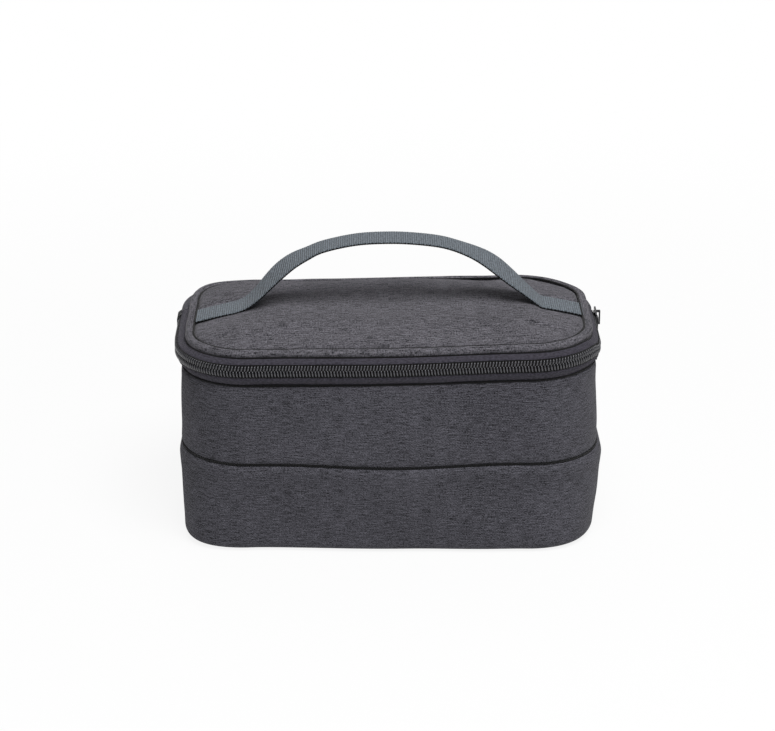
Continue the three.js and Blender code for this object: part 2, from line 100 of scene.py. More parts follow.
class Row(Enum):
    """The two rows of the zip, with the way each lies from the chain's middle."""

    LOWER = -1
    UPPER = 1

    @property
    def word(self) -> str:
        """The row's word in the names of pieces and nodes."""
        return self.name.lower()

    @property
    def body(self) -> Body:
        """The body that the row rides on."""
        return Body.BAG if self is Row.LOWER else Body.LID


class Way(IntEnum):
    """The two directions of a cloth."""

    ALONG = 0
    ACROSS = 1


class Stretch(IntEnum):
    """Stretches of the plan's walk, by their order."""

    LEFT_REAR_CORNER = 1
    LEFT_SIDE = 2
    LEFT_FRONT_CORNER = 3
    FRONT = 4
    RIGHT_FRONT_CORNER = 5
    RIGHT_REAR_CORNER = 7


CORNERS = (
    Stretch.LEFT_REAR_CORNER, Stretch.LEFT_FRONT_CORNER, Stretch.RIGHT_FRONT_CORNER, Stretch.RIGHT_REAR_CORNER
)


def linear(red: int, green: int, blue: int) -> Colour:
    """Linear colour of an 8-bit screen colour."""
    shares = (channel / 255 for channel in (red, green, blue))
    return tuple(s / 12.92 if s <= 0.04045 else ((s + 0.055) / 1.055) ** 2.4 for s in shares)


def ease(values: Array) -> Array:
    """Smooth step from 0 to 1 of values from 0 to 1."""
    share = np.clip(values, 0.0, 1.0)
    return share * share * (3.0 - 2.0 * share)


def box_mm(node: str) -> tuple[Array, Array]:
    """Lowest and highest corner of a CAD node in millimetres."""
    low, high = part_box(node)
    return np.array(low) / MM, np.array(high) / MM


def lengths(line: Array) -> Array:
    """Distances along a line of points, from 0 at its start."""
    return np.concatenate([[0.0], np.cumsum(np.linalg.norm(np.diff(line, axis=0), axis=1))])


def lengths_round(section: Array) -> Array:
    """Distances along a closed outline, with the whole way round as the last."""
    return lengths(np.concatenate([section, section[:1]]))


def tangents(line: Array) -> Array:
    """Unit directions along a line of points."""
    ahead = np.gradient(line, axis=0)
    return ahead / np.linalg.norm(ahead, axis=1, keepdims=True)


def circle(sides: int) -> Array:
    """Even angles of a full turn, without its end."""
    return np.linspace(0, 2 * np.pi, sides, endpoint=False)


def waves(along: Array, up: Array, length: float, seed: int, terms: int = 7) -> Array:
    """Smooth random unevenness of a cloth, between about -1 and 1.

    Args:
        along: Distance along the cloth in millimetres.
        up: Distance up the cloth in millimetres.
        length: Typical length of a wave in millimetres.
        seed: Seed of the random draw.
        terms: How many plane waves are added up.

    Returns:
        The unevenness at each place.
    """
    draw = np.random.default_rng(seed)
    total = np.zeros(np.broadcast(along, up).shape)
    for _ in range(terms):
        angle, phase = draw.uniform(0, 2 * np.pi, 2)
        pitch = length * draw.uniform(*WAVE_SPREAD)
        run = np.cos(angle) * along + np.sin(angle) * up
        total = total + np.sin(2 * np.pi * run / pitch + phase)
    return total / math.sqrt(terms)


def crowded(count: int, low: float, high: float) -> Array:
    """Heights between two ends, closer together near both."""
    share = np.linspace(0, 1, count)
    return low + (high - low) * (0.5 * share + 0.25 * (1 - np.cos(np.pi * share)))


@dataclass(frozen=True)
class Ramp:
    """A smooth rise from 0 to 1 that starts at a place and takes a length, in millimetres."""

    start: float
    over: float

    def at(self, places: Array) -> Array:
        """Share of the rise at each place."""
        return ease((places - self.start) / self.over)


@dataclass(frozen=True)
class Roll:
    """Cloth that rolls in towards a seam over a height and to a depth, in millimetres."""

    height: float
    depth: float

    def at(self, distance: Array) -> Array:
        """How far the cloth has rolled in at each distance from the seam."""
        away = 1 - np.clip(distance / self.height, 0, 1)
        return self.depth * (1 - np.sqrt(np.maximum(1 - away * away, 0)))


@dataclass(frozen=True)
class Sag:
    """How the soft bag has settled out of its even shape, in millimetres."""

    side: Ramp = Ramp(70.0, 45.0)
    front: Ramp = Ramp(20.0, 45.0)
    rear: Ramp = Ramp(22.0, 42.0)
    lean: float = 0.018
    lean_up: Ramp = Ramp(50.0, 60.0)
    foot: Ramp = Ramp(0.0, 48.0)
    foot_left: float = 5.2
    foot_right: float = 2.0
    foot_turn: float = 3.2
    turn: Ramp = Ramp(10.0, 50.0)
    belly: float = 2.2
    belly_up: Ramp = Ramp(0.0, 26.0)
    belly_down: Ramp = Ramp(-58.0, 14.0)
    rim: Ramp = Ramp(92.0, 14.0)
    rim_left: float = 1.8
    rim_right: float = 0.8
    rim_back: Ramp = Ramp(-45.0, 35.0)
    roll: Ramp = Ramp(111.5, 4.0)
    roll_share: float = 0.3
    rear_left: float = 6.2
    rear_right: float = -5.4
    back_left: float = 6.0
    back_right: float = -1.0
    still_side: Ramp = Ramp(96.0, 14.0)
    still_front: Ramp = Ramp(-46.0, 14.0)
    still_rear: Ramp = Ramp(-44.0, 14.0)
    still_top: Ramp = Ramp(113.3, 3.7)

    def still(self, x: Array, y: Array, z: Array) -> Array:
        """How firmly the zip keeps its even shape along the slider's straight run, from 0 to 1."""
        along = self.still_front.at(y) * self.still_rear.at(-y)
        return self.still_side.at(x) * along * (1 - self.still_top.at(z))

    def settle(self, points: Array) -> Array:
        """Points of the settled bag.

        Args:
            points: Points of the even shape (..., 3), in metres.

        Returns:
            The points with the lean, the spread feet, the right side's belly and the uneven rear corners.
        """
        x, y, z = np.moveaxis(points / MM, -1, 0)
        left, right, front, rear = self.side.at(-x), self.side.at(x), self.front.at(-y), self.rear.at(y)
        low, upper = 1 - self.foot.at(z), self.rim.at(z)
        lower = self.belly_down.at(-z) * self.belly_up.at(z)
        foot = (self.foot_left * left + self.foot_right * right) * front * low
        outer = upper * (1 - (1 - self.roll_share) * self.roll.at(z))
        corner = (self.rear_left * left + self.rear_right * right) * rear * upper
        back = (self.back_left * left + self.back_right * right) * rear * upper
        rim = (self.rim_right * right - self.rim_left * left) * outer * self.rim_back.at(y)
        aside = np.sign(x) * (foot + corner) + self.belly * right * lower + rim
        turned = self.foot_turn * self.turn.at(x) * front * low
        rise = self.lean * x * self.lean_up.at(z)
        loose = 1 - self.still(x, y, z) * upper
        return points + np.stack([aside * loose, back - foot - turned, rise * loose], -1) * MM


SAG = Sag()


@dataclass(frozen=True)
class Plan:
    """Rounded plan of the bag's wall, in millimetres, walked from the middle of the back.

    The walk goes left along the back, down the left side, along the front and back up the right side.
    """

    width: float
    depth: float
    bow_rim: float
    wall_top: float
    corner: float = 39.0
    bow_middle: float = 5.2

    @property
    def runs(self) -> Array:
        """Lengths of the nine stretches of the walk."""
        back, side = self.width / 2 - self.corner, self.depth - 2 * self.corner
        arc = math.pi / 2 * self.corner
        return np.array([back, arc, side, arc, 2 * back, arc, side, arc, back])

    @property
    def length(self) -> float:
        """Length of the whole walk."""
        return float(self.runs.sum())

    def start_of(self, stretch: int) -> float:
        """Walk's length at the start of a stretch, counted from 0."""
        return float(self.runs[:stretch].sum())

    def calm(self, walk: Array, reach: float) -> Array:
        """Share of unevenness along the walk, which is none where the loop joins up."""
        return ease(np.minimum(walk, self.length - walk) / reach)

    def spots(self, walk: Array) -> tuple[Array, Array, Array]:
        """Turning centres, outward directions and shares of the bow along the walk.

        Args:
            walk: Lengths along the walk.

        Returns:
            Centres (n, 2), directions (n, 2) and bow shares (n).
        """
        runs = self.runs
        ends = np.cumsum(runs)
        walk = np.mod(np.asarray(walk, float), self.length)
        stretch = np.minimum(np.searchsorted(ends, walk, side="right"), len(runs) - 1)
        rest = walk - np.concatenate([[0.0], ends[:-1]])[stretch]
        x, y = self.width / 2 - self.corner, self.depth / 2 - self.corner
        begin = np.array([(0, y), (-x, y), (-x, y), (-x, -y), (-x, -y), (x, -y), (x, -y), (x, y), (x, y)])
        ahead = np.array([(-1, 0), (0, 0), (0, -1), (0, 0), (1, 0), (0, 0), (0, 1), (0, 0), (-1, 0)])
        centre = begin[stretch] + ahead[stretch] * rest[:, None]
        angle = np.pi / 2 * (stretch // 2 + 1) + stretch % 2 * rest / self.corner
        crest = 0.5 * (1 - np.cos(2 * np.pi * rest / runs[Stretch.FRONT]))
        bow = np.where(stretch == Stretch.FRONT, crest, 0.0)
        return centre, np.stack([np.cos(angle), np.sin(angle)], 1), bow

    def bow_at(self, height: Array) -> Array:
        """Bow of the front's middle at a height."""
        share = np.clip(height, 0, self.wall_top) / self.wall_top
        return self.bow_rim + (self.bow_middle - self.bow_rim) * np.sin(np.pi * share)

    def points(self, walk: Array, offset: Array, height: Array) -> Array:
        """Points of a swept surface, in metres.

        Args:
            walk: Lengths along the walk, (n).
            offset: Outward offsets, broadcast to (n, m).
            height: Heights, broadcast to (n, m).

        Returns:
            Points (n, m, 3).
        """
        centre, out, bow = self.spots(walk)
        shape = np.broadcast_shapes((len(walk), 1), np.shape(offset), np.shape(height))
        height = np.broadcast_to(height, shape)
        reach = self.corner + np.broadcast_to(offset, shape) + bow[:, None] * self.bow_at(height)
        flat = centre[:, None, :] + out[:, None, :] * reach[..., None]
        return np.concatenate([flat, height[..., None]], 2) * MM

    def walk_steps(self, step: float, start: float = 0.0, end: Optional[float] = None) -> Array:
        """Evenly spaced lengths along the walk.

        Args:
            step: Wanted spacing in millimetres.
            start: First length.
            end: Last length, or None to go all the way round without repeating the start.

        Returns:
            The lengths.
        """
        if end is None:
            return np.linspace(start, start + self.length, round(self.length / step), endpoint=False)
        return np.linspace(start, end, max(2, round((end - start) / step) + 1))


@dataclass(frozen=True)
class Rough:
    """Unevenness of a cloth carried along the walk, in millimetres."""

    depth: float = 0.0
    seed: int = 3
    length: float = 38.0
    join: float = 30.0

    def over(self, plan: Plan, walk: Array, across: Array, closed: bool = True) -> Array:
        """In and out shift of each point of a swept piece.

        Args:
            plan: The bag's plan.
            walk: Lengths along the walk (n).
            across: Distances across the cloth (m).
            closed: Whether the piece goes all the way round.

        Returns:
            The shifts (n, m).
        """
        shift = self.depth * waves(walk[:, None], across, self.length, self.seed)
        return shift * plan.calm(walk, self.join)[:, None] if closed else shift


def finish_mesh(name: str, mesh: bpy.types.Mesh) -> Object:
    """Turns a mesh's faces outward, smooths its shading and puts it in the scene.

    Args:
        name: Name of the object.
        mesh: The mesh.

    Returns:
        The object.
    """
    obj = bpy.data.objects.new(name, mesh)
    bpy.context.scene.collection.objects.link(obj)
    mesh.validate()
    mesh.calc_loop_triangles()
    places = np.zeros(len(mesh.vertices) * 3)
    mesh.vertices.foreach_get("co", places)
    triangles = np.zeros(len(mesh.loop_triangles) * 3, int)
    mesh.loop_triangles.foreach_get("vertices", triangles)
    corners = places.reshape(-1, 3)[triangles.reshape(-1, 3)]
    volume = np.einsum("ij,ij->i", corners[:, 0], np.cross(corners[:, 1], corners[:, 2])).sum()
    if volume < 0:
        mesh.flip_normals()
    mesh.shade_smooth()
    mesh.update()
    return obj


def cloth_mesh(name: str, points: Array, faces: list[list[int]], flat: Array) -> Object:
    """A settled mesh with its cloth directions kept as a UV map in metres.

    Args:
        name: Name of the object.
        points: Points of the even shape (n, 3), in metres.
        faces: Vertices of each face.
        flat: Places on the flat cloth for the faces' corners in order, in millimetres; the rest get zero.

    Returns:
        The object.
    """
    mesh = bpy.data.meshes.new(name)
    mesh.from_pydata(SAG.settle(points).tolist(), [], faces)
    layer = mesh.uv_layers.new(name=WEAVE_UV)
    uv = np.concatenate([flat, np.zeros((len(mesh.loops) - len(flat), 2))]) * MM
    layer.data.foreach_set("uv", uv.ravel().astype(np.float32))
    return finish_mesh(name, mesh)


def grid_mesh(name: str, points: Array, closed: bool, along: Array, across: Array) -> Object:
    """A quad mesh over a grid of points whose sections are closed, capped where the walk isn't.

    Args:
        name: Name of the object.
        points: Grid of points (n, m, 3), in metres.
        closed: Whether the walk closes on itself.
        along: Distance along the cloth in millimetres for each of the n rows, one more when it closes.
        across: Distance across the cloth in millimetres for each of the m columns, and one more.

    Returns:
        The object.
    """
    rows, columns = points.shape[:2]
    i, j = np.indices((rows if closed else rows - 1, columns)).reshape(2, -1)
    corners_i = np.stack([i, i + 1, i + 1, i], 1)
    corners_j = np.stack([j, j, j + 1, j + 1], 1)
    faces = ((corners_i % rows) * columns + corners_j % columns).tolist()
    if not closed:
        faces += [list(range(columns))[::-1], list(range((rows - 1) * columns, rows * columns))]
    flat = np.stack([along[corners_i], across[corners_j]], 2).reshape(-1, 2)
    return cloth_mesh(name, points.reshape(-1, 3), faces, flat)


def swept_mesh(
    plan: Plan, name: str, walk: Array, offset: Array, height: Array, across: Array, closed: bool = True
) -> Object:
    """A closed section carried along the walk.

    Args:
        plan: The bag's plan.
        name: Name of the object.
        walk: Lengths along the walk (n).
        offset: Outward offsets of the section, broadcast to (n, m).
        height: Heights of the section, broadcast to (n, m).
        across: Distances round the section (m + 1).
        closed: Whether it goes all the way round.

    Returns:
        The object.
    """
    along = np.append(walk, plan.length) if closed else walk
    return grid_mesh(name, plan.points(walk, offset, height), closed, along, across)


def rounded_section(line: Array, thickness: float, round_steps: int = 3) -> Array:
    """Closed outline of an even strip along a line, with half-round ends.

    Args:
        line: Points (n, 2) of the strip's middle.
        thickness: Thickness of the strip.
        round_steps: Steps of each half-round end.

    Returns:
        Points of the outline.
    """
    ahead = tangents(line)
    normal = np.stack([ahead[:, 1], -ahead[:, 0]], 1) * thickness / 2
    turns = np.linspace(0, np.pi, round_steps + 2)[1:-1]
    far = [line[-1] + normal[-1] * np.cos(t) + ahead[-1] * np.sin(t) * thickness / 2 for t in turns]
    near = [line[0] - normal[0] * np.cos(t) - ahead[0] * np.sin(t) * thickness / 2 for t in turns]
    return np.concatenate([line + normal, far, (line - normal)[::-1], near])


def strip_mesh(
    plan: Plan, name: str, line: Array, thickness: float, walk: Array, closed: bool, rough: Rough = Rough()
) -> Object:
    """A strip of cloth of even thickness carried along the walk.

    Args:
        plan: The bag's plan.
        name: Name of the object.
        line: Points of the strip's middle as offset and height, in millimetres.
        thickness: Its thickness in millimetres.
        walk: Lengths along the walk.
        closed: Whether it goes all the way round.
        rough: Its unevenness.

    Returns:
        The object.
    """
    section = rounded_section(line, thickness)
    offset = section[:, 0] + rough.over(plan, walk, section[:, 1], closed)
    return swept_mesh(plan, name, walk, offset, section[:, 1], lengths_round(section), closed)


def cord_mesh(
    plan: Plan, name: str, step: float, offset: float, height: Array, radius: float, sides: int = 10,
    rough: Rough = Rough(),
) -> Object:
    """A round cord all the way along the walk.

    Args:
        plan: The bag's plan.
        name: Name of the object.
        step: Spacing of its sections in millimetres.
        offset: Outward offset of its middle.
        height: Height of its middle, one or (n, 1).
        radius: Its radius.
        sides: Sides of its section.
        rough: Its unevenness.

    Returns:
        The object.
    """
    walk, turn = plan.walk_steps(step), circle(sides)
    reach = radius + rough.over(plan, walk, turn * CORD_SPREAD)
    across = np.linspace(0, 2 * np.pi * radius, sides + 1)
    return swept_mesh(plan, name, walk, offset + reach * np.cos(turn), height + reach * np.sin(turn), across)


def tube_mesh(name: str, path: Array, axis: Array, radius: Array, sides: int) -> Object:
    """A round filament along a path.

    Args:
        name: Name of the object.
        path: Points of its middle (n, 3), in metres.
        axis: A direction at each point that the path never follows (n, 3).
        radius: Its radius at each point in millimetres (n).
        sides: Sides of its section.

    Returns:
        The object.
    """
    ahead, turn = tangents(path), circle(sides)[None, :, None]
    first = axis - ahead * np.einsum("ij,ij->i", axis, ahead)[:, None]
    first /= np.linalg.norm(first, axis=1, keepdims=True)
    second = np.cross(ahead, first)
    ring = np.cos(turn) * first[:, None, :] + np.sin(turn) * second[:, None, :]
    points = path[:, None, :] + ring * radius[:, None, None] * MM
    across = np.linspace(0, 2 * np.pi * radius.mean(), sides + 1)
    return grid_mesh(name, points, False, lengths(path) / MM, across)


def disc_mesh(
    plan: Plan, name: str, offset: float, level: float, upper: Relief, lower: Relief, cells: int = 48,
    crowding: float = 0.0,
) -> Object:
    """A closed sheet that fills the plan, on a square grid drawn out to the rounded outline.

    Args:
        plan: The bag's plan.
        name: Name of the object.
        offset: Offset of the sheet's edge from the plan, in millimetres.
        level: Height at which the plan is taken, in millimetres.
        upper: Height of the upper face from x, y and the distance to the edge, in millimetres.
        lower: Height of the lower face, in the same way.
        cells: Cells along each side of the grid.
        crowding: Share by which the grid's lines crowd towards the edge.

    Returns:
        The object; its upper face holds the first half of its vertices.
    """
    even = np.linspace(-1, 1, cells + 1)
    side = (1 - crowding) * even + crowding * np.sin(np.pi / 2 * even)
    a, b = (grid.ravel() for grid in np.meshgrid(side, side, indexing="ij"))
    share = np.maximum(np.abs(a), np.abs(b))
    safe = np.where(share > 0, share, 1)
    half_arc = plan.runs[Stretch.LEFT_REAR_CORNER] / 2
    corner = [plan.start_of(stretch) + half_arc for stretch in CORNERS]
    corner.append(plan.length + corner[0])
    sides = ((a == -share, -b), (b == -share, a), (a == share, b), (b == share, -a))
    walk = np.zeros(a.size)
    for index, (here, run) in enumerate(sides):
        part = (1 + run / safe) / 2
        walk[here] = (corner[index] + part * (corner[index + 1] - corner[index]))[here]
    outline = plan.points(walk, np.full((a.size, 1), offset), np.full((a.size, 1), level))[:, 0, :2] / MM
    _, out, _ = plan.spots(walk)
    inside = np.einsum("ij,ij->i", outline, out) * (1 - share)
    x, y = (outline * share[:, None]).T
    top = np.column_stack([x, y, upper(x, y, inside)])
    bottom = np.column_stack([x, y, lower(x, y, inside)])
    count, step = cells + 1, np.arange(cells)
    i, j = np.indices((cells, cells)).reshape(2, -1)
    quads = np.stack([i * count + j, (i + 1) * count + j, (i + 1) * count + j + 1, i * count + j + 1], 1)
    ring = np.concatenate([step * count, cells * count + step, (cells - step) * count + cells, cells - step])
    after = np.roll(ring, -1)
    rim = np.stack([after, ring, ring + a.size, after + a.size], 1)
    faces = np.concatenate([quads, quads[:, ::-1] + a.size, rim])
    drop = top[:, 2].max() - top[:, 2]
    flat = np.tile(top[:, :2] + out * drop[:, None], (2, 1))
    return cloth_mesh(name, np.concatenate([top, bottom]) * MM, faces.tolist(), flat[faces.ravel()])


def smoothed(corners: Sequence[Pair], step: float = 0.4, passes: int = 6) -> Array:
    """A line through corners with its bends rounded off.

    Args:
        corners: Corners of the line, in millimetres.
        step: Spacing of the line's points.
        passes: How many times each point is drawn between its neighbours.

    Returns:
        Points of the line.
    """
    corner = np.array(corners, float)
    reach = lengths(corner)
    even = np.linspace(0, reach[-1], max(3, round(reach[-1] / step)))
    line = np.column_stack([np.interp(even, reach, corner[:, k]) for k in range(2)])
    for _ in range(passes):
        line[1:-1] = 0.25 * line[:-2] + 0.5 * line[1:-1] + 0.25 * line[2:]
    return line


def dress(obj: Object, material: Material, slot: Slot, body: Optional[Body], *nodes: str) -> Object:
    """Gives a piece its material and body, and says which CAD nodes it stands for.

    Args:
        obj: The piece.
        material: Its material.
        slot: The record's slot that it takes its finish from; not used.
        body: The body that it rides on, or None for a piece that spans two bodies and rides on neither.
        *nodes: The CAD nodes that it replaces.

    Returns:
        The piece.
    """
    obj.data.materials.clear()
    obj.data.materials.append(material)
    if body is not None:
        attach(obj, body.value)
    if nodes:
        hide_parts(*nodes)
    count, stands_for = len(obj.data.vertices), ", ".join(nodes) or "nothing"
    LOG.info("%s: %d vertices, stands for %s", obj.name, count, stands_for)
    return obj


class Tree:
    """Writer of one material's node tree."""

    def __init__(self, name: str) -> None:
        """Starts an empty material.

        Args:
            name: Name of the material.
        """
        self.material = bpy.data.materials.new(name)
        self.material.use_nodes = True
        self.nodes = self.material.node_tree.nodes
        self.links = self.material.node_tree.links
        self.nodes.clear()
        self.uv = self.node("ShaderNodeUVMap", uv_map=WEAVE_UV).outputs["UV"]

    def node(self, kind: str, **settings: object) -> bpy.types.Node:
        """Adds a node.

        Args:
            kind: Blender's name of the node's type.
            **settings: The node's settings.

        Returns:
            The node.
        """
        made = self.nodes.new(kind)
        for key, value in settings.items():
            setattr(made, key, value)
        return made

    def put(self, socket: Socket, value: object) -> None:
        """Links an output to an input, or sets the input to a constant.

        Args:
            socket: The input.
            value: The output or the constant.
        """
        if isinstance(value, Socket):
            self.links.new(value, socket)
        else:
            socket.default_value = value

    def feed(self, node: bpy.types.Node, **values: object) -> bpy.types.Node:
        """Feeds a node's inputs, each with another node's output or a constant.

        Args:
            node: The node.
            **values: What each input gets, by its name with _ for a space.

        Returns:
            The node.
        """
        for key, value in values.items():
            self.put(node.inputs[key.replace("_", " ")], value)
        return node

    def maths(self, operation: str, *values: object) -> Socket:
        """Result of a sum.

        Args:
            operation: Blender's name of the operation.
            *values: Outputs or constants that it works on.

        Returns:
            The result.
        """
        made = self.node("ShaderNodeMath", operation=operation)
        for socket, value in zip(made.inputs, values):
            self.put(socket, value)
        return made.outputs[0]

    def total(self, *layers: tuple[Socket, float]) -> Socket:
        """Sum of layers, each times its share.

        Args:
            *layers: The layers and their shares.

        Returns:
            The sum.
        """
        whole, *others = [self.maths("MULTIPLY", layer, share) for layer, share in layers]
        for other in others:
            whole = self.maths("ADD", whole, other)
        return whole

    def stretched(self, length: float, height: float) -> Socket:
        """Cloth directions scaled so that one unit is a mark of the given size.

        Args:
            length: Length of a mark along the cloth in millimetres.
            height: Height of a mark across the cloth in millimetres.

        Returns:
            The scaled directions.
        """
        made = self.node("ShaderNodeVectorMath", operation="MULTIPLY")
        self.put(made.inputs[0], self.uv)
        self.put(made.inputs[1], (1 / (length * MM), 1 / (height * MM), 1.0))
        return made.outputs[0]

    def marks(self, length: float, height: float, detail: float = 2.0) -> Socket:
        """Random marks of the given size in millimetres, from 0 to 1."""
        made = self.node("ShaderNodeTexNoise", noise_dimensions="2D")
        return self.feed(made, Vector=self.stretched(length, height), Scale=1.0, Detail=detail).outputs["Fac"]

    def ribs(self, pitch: float, way: Way) -> Socket:
        """Even ribs that follow each other in one cloth direction.

        Args:
            pitch: Distance between ribs in millimetres.
            way: The direction.

        Returns:
            The height of the ribs, from -1 to 1.
        """
        unit = pitch / (2 * math.pi)
        split = self.feed(self.node("ShaderNodeSeparateXYZ"), Vector=self.stretched(unit, unit))
        return self.maths("SINE", split.outputs[int(way)])

    def shades(self, share: Socket, ramp: Pair, dark: Colour, light: Colour) -> Socket:
        """Colour that goes from dark to light.

        Args:
            share: What the colour follows.
            ramp: The share where it is dark, and the share where it is light.
            dark: The dark colour.
            light: The light colour.

        Returns:
            The colour.
        """
        made = self.feed(self.node("ShaderNodeValToRGB"), Fac=share)
        for element, place, colour in zip(made.color_ramp.elements, ramp, (dark, light)):
            element.position, element.color = place, (*colour, 1.0)
        return made.outputs["Color"]

    def bump(self, height: Socket, depth: float, strength: float = 1.0) -> Socket:
        """Normal of a surface with a fine relief, its depth in millimetres."""
        made = self.node("ShaderNodeBump")
        return self.feed(made, Strength=strength, Distance=depth * MM, Height=height).outputs["Normal"]

    def end(self, shader: bpy.types.Node) -> Material:
        """Ends the tree in a shader."""
        self.feed(self.node("ShaderNodeOutputMaterial"), Surface=shader.outputs[0])
        return self.material

    def surface(self, **values: object) -> Material:
        """Ends the tree in one principled shader with the given inputs, written with _ for a space."""
        return self.end(self.feed(self.node("ShaderNodeBsdfPrincipled"), **values))


@dataclass(frozen=True)
class HeatherFabric:
    """Plain-woven cloth of mixed dark and light yarns, streaked along the weft; sizes in millimetres."""

    name: str
    dark: Colour
    light: Colour
    streak_length: float = 7.0
    streak_height: float = 0.6
    short_part: float = 0.25
    thread_and_shade_line: float = 0.76
    cloud: Pair = (40.0, 26.0)
    streak_share: float = 0.34
    short_share: float = 0.24
    slub_share: float = 0.36
    cloud_share: float = 0.06
    ramp: Pair = (0.36, 0.64)
    relief: float = 0.16
    weave_relief: float = 0.5
    streak_relief: float = 1.4
    roughness: float = 0.95
    gloss: float = 0.15
    sheen: float = 0.08
    sheen_roughness: float = 0.5

    def make(self) -> Material:
        """Makes the cloth's material.

        Returns:
            The material.
        """
        tree = Tree(self.name)
        short = tree.marks(self.streak_length * self.short_part, self.streak_height)
        yarns = tree.total(
            (tree.marks(self.streak_length, self.streak_height), self.streak_share),
            (short, self.short_share),
            (tree.marks(self.thread_and_shade_line, self.streak_height, 1.0), self.slub_share),
            (tree.marks(*self.cloud, 1.0), self.cloud_share),
        )
        weave = tree.maths("MULTIPLY", *(tree.ribs(self.thread_and_shade_line * 2, way) for way in Way))
        height = tree.total((weave, self.weave_relief), (short, self.streak_relief))
        return tree.surface(
            Base_Color=tree.shades(yarns, self.ramp, self.dark, self.light),
            Roughness=self.roughness,
            Specular_IOR_Level=self.gloss,
            Sheen_Weight=self.sheen,
            Sheen_Roughness=self.sheen_roughness,
            Normal=tree.bump(height, self.relief),
        )


@dataclass(frozen=True)
class RibbedTape:
    """Woven tape with fine ribs along or across it; sizes in millimetres."""

    name: str
    dark: Colour
    light: Colour
    rib: float
    way: Way
    relief: float = 0.12
    gloss: float = 0.15
    thread_part: float = 0.8
    thread_relief: float = 0.4
    fuzz: Pair = (1.6, 1.0)
    fuzz_detail: float = 3.0
    rib_shade: float = 0.16
    ramp: Pair = (0.25, 0.75)
    roughness: float = 0.85
    sheen: float = 0.1

    def make(self) -> Material:
        """Makes the tape's material.

        Returns:
            The material.
        """
        tree = Tree(self.name)
        threads_and_shade_lines = tree.ribs(self.rib * self.thread_part, Way(1 - self.way))
        height = tree.total((tree.ribs(self.rib, self.way), 1.0), (threads_and_shade_lines, self.thread_relief))
        share = tree.total((height, self.rib_shade), (tree.marks(*self.fuzz, self.fuzz_detail), 1.0))
        return tree.surface(
            Base_Color=tree.shades(share, self.ramp, self.dark, self.light),
            Roughness=self.roughness,
            Specular_IOR_Level=self.gloss,
            Sheen_Weight=self.sheen,
            Normal=tree.bump(height, self.relief),
        )


@dataclass(frozen=True)
class Filament:
    """Glossy extruded filament of the zip's coil."""

    name: str
    colour: Colour
    roughness: float = 0.22
    gloss: float = 0.6
    coat: float = 0.3

    def make(self) -> Material:
        """Makes the filament's material.

        Returns:
            The material.
        """
        return Tree(self.name).surface(
            Base_Color=(*self.colour, 1.0),
            Roughness=self.roughness,
            Specular_IOR_Level=self.gloss,
            Coat_Weight=self.coat,
        )


@dataclass(frozen=True)
class Foil:
    """Metallised film, softly creased; sizes in millimetres."""

    name: str
    colour: Colour
    crease: float = 9.0
    detail: float = 3.0
    relief: float = 0.7
    strength: float = 0.7
    metallic: float = 0.9
    roughness: float = 0.38

    def make(self) -> Material:
        """Makes the film's material.

        Returns:
            The material.
        """
        tree = Tree(self.name)
        cells = tree.node("ShaderNodeTexVoronoi", feature="F1", voronoi_dimensions="2D")
        tree.feed(cells, Vector=tree.stretched(self.crease, self.crease), Scale=1.0)
        marks = tree.marks(self.crease * 2, self.crease * 2, self.detail)
        return tree.surface(
            Base_Color=(*self.colour, 1.0),
            Metallic=self.metallic,
            Roughness=self.roughness,
            Normal=tree.bump(tree.maths("ADD", cells.outputs["Distance"], marks), self.relief, self.strength),
        )


@dataclass(frozen=True)
class Foam:
    """Closed-cell foam sheet; sizes in millimetres."""

    name: str
    colour: Colour
    cell: float = 1.2
    relief: float = 0.2
    roughness: float = 0.8
    subsurface: float = 0.1

    def make(self) -> Material:
        """Makes the foam's material.

        Returns:
            The material.
        """
        tree = Tree(self.name)
        return tree.surface(
            Base_Color=(*self.colour, 1.0),
            Roughness=self.roughness,
            Subsurface_Weight=self.subsurface,
            Normal=tree.bump(tree.marks(self.cell, self.cell, 1.0), self.relief),
        )


@dataclass(frozen=True)
class PaintedMetal:
    """Die-cast metal under a thin dark paint, worn a little; sizes in millimetres."""

    name: str
    colour: Colour
    worn: Colour
    grain: float = 1.2
    detail: float = 4.0
    ramp: Pair = (0.45, 0.75)
    relief: float = 0.02
    metallic: float = 0.85
    roughness: float = 0.34
    coat: float = 0.25

    def make(self) -> Material:
        """Makes the metal's material.

        Returns:
            The material.
        """
        tree = Tree(self.name)
        place = tree.node("ShaderNodeTexCoord").outputs["Object"]
        speckle = tree.node("ShaderNodeTexNoise")
        tree.feed(speckle, Vector=place, Scale=1 / (self.grain * MM), Detail=self.detail)
        return tree.surface(
            Base_Color=tree.shades(speckle.outputs["Fac"], self.ramp, self.colour, self.worn),
            Metallic=self.metallic,
            Roughness=self.roughness,
            Coat_Weight=self.coat,
            Normal=tree.bump(speckle.outputs["Fac"], self.relief),
        )


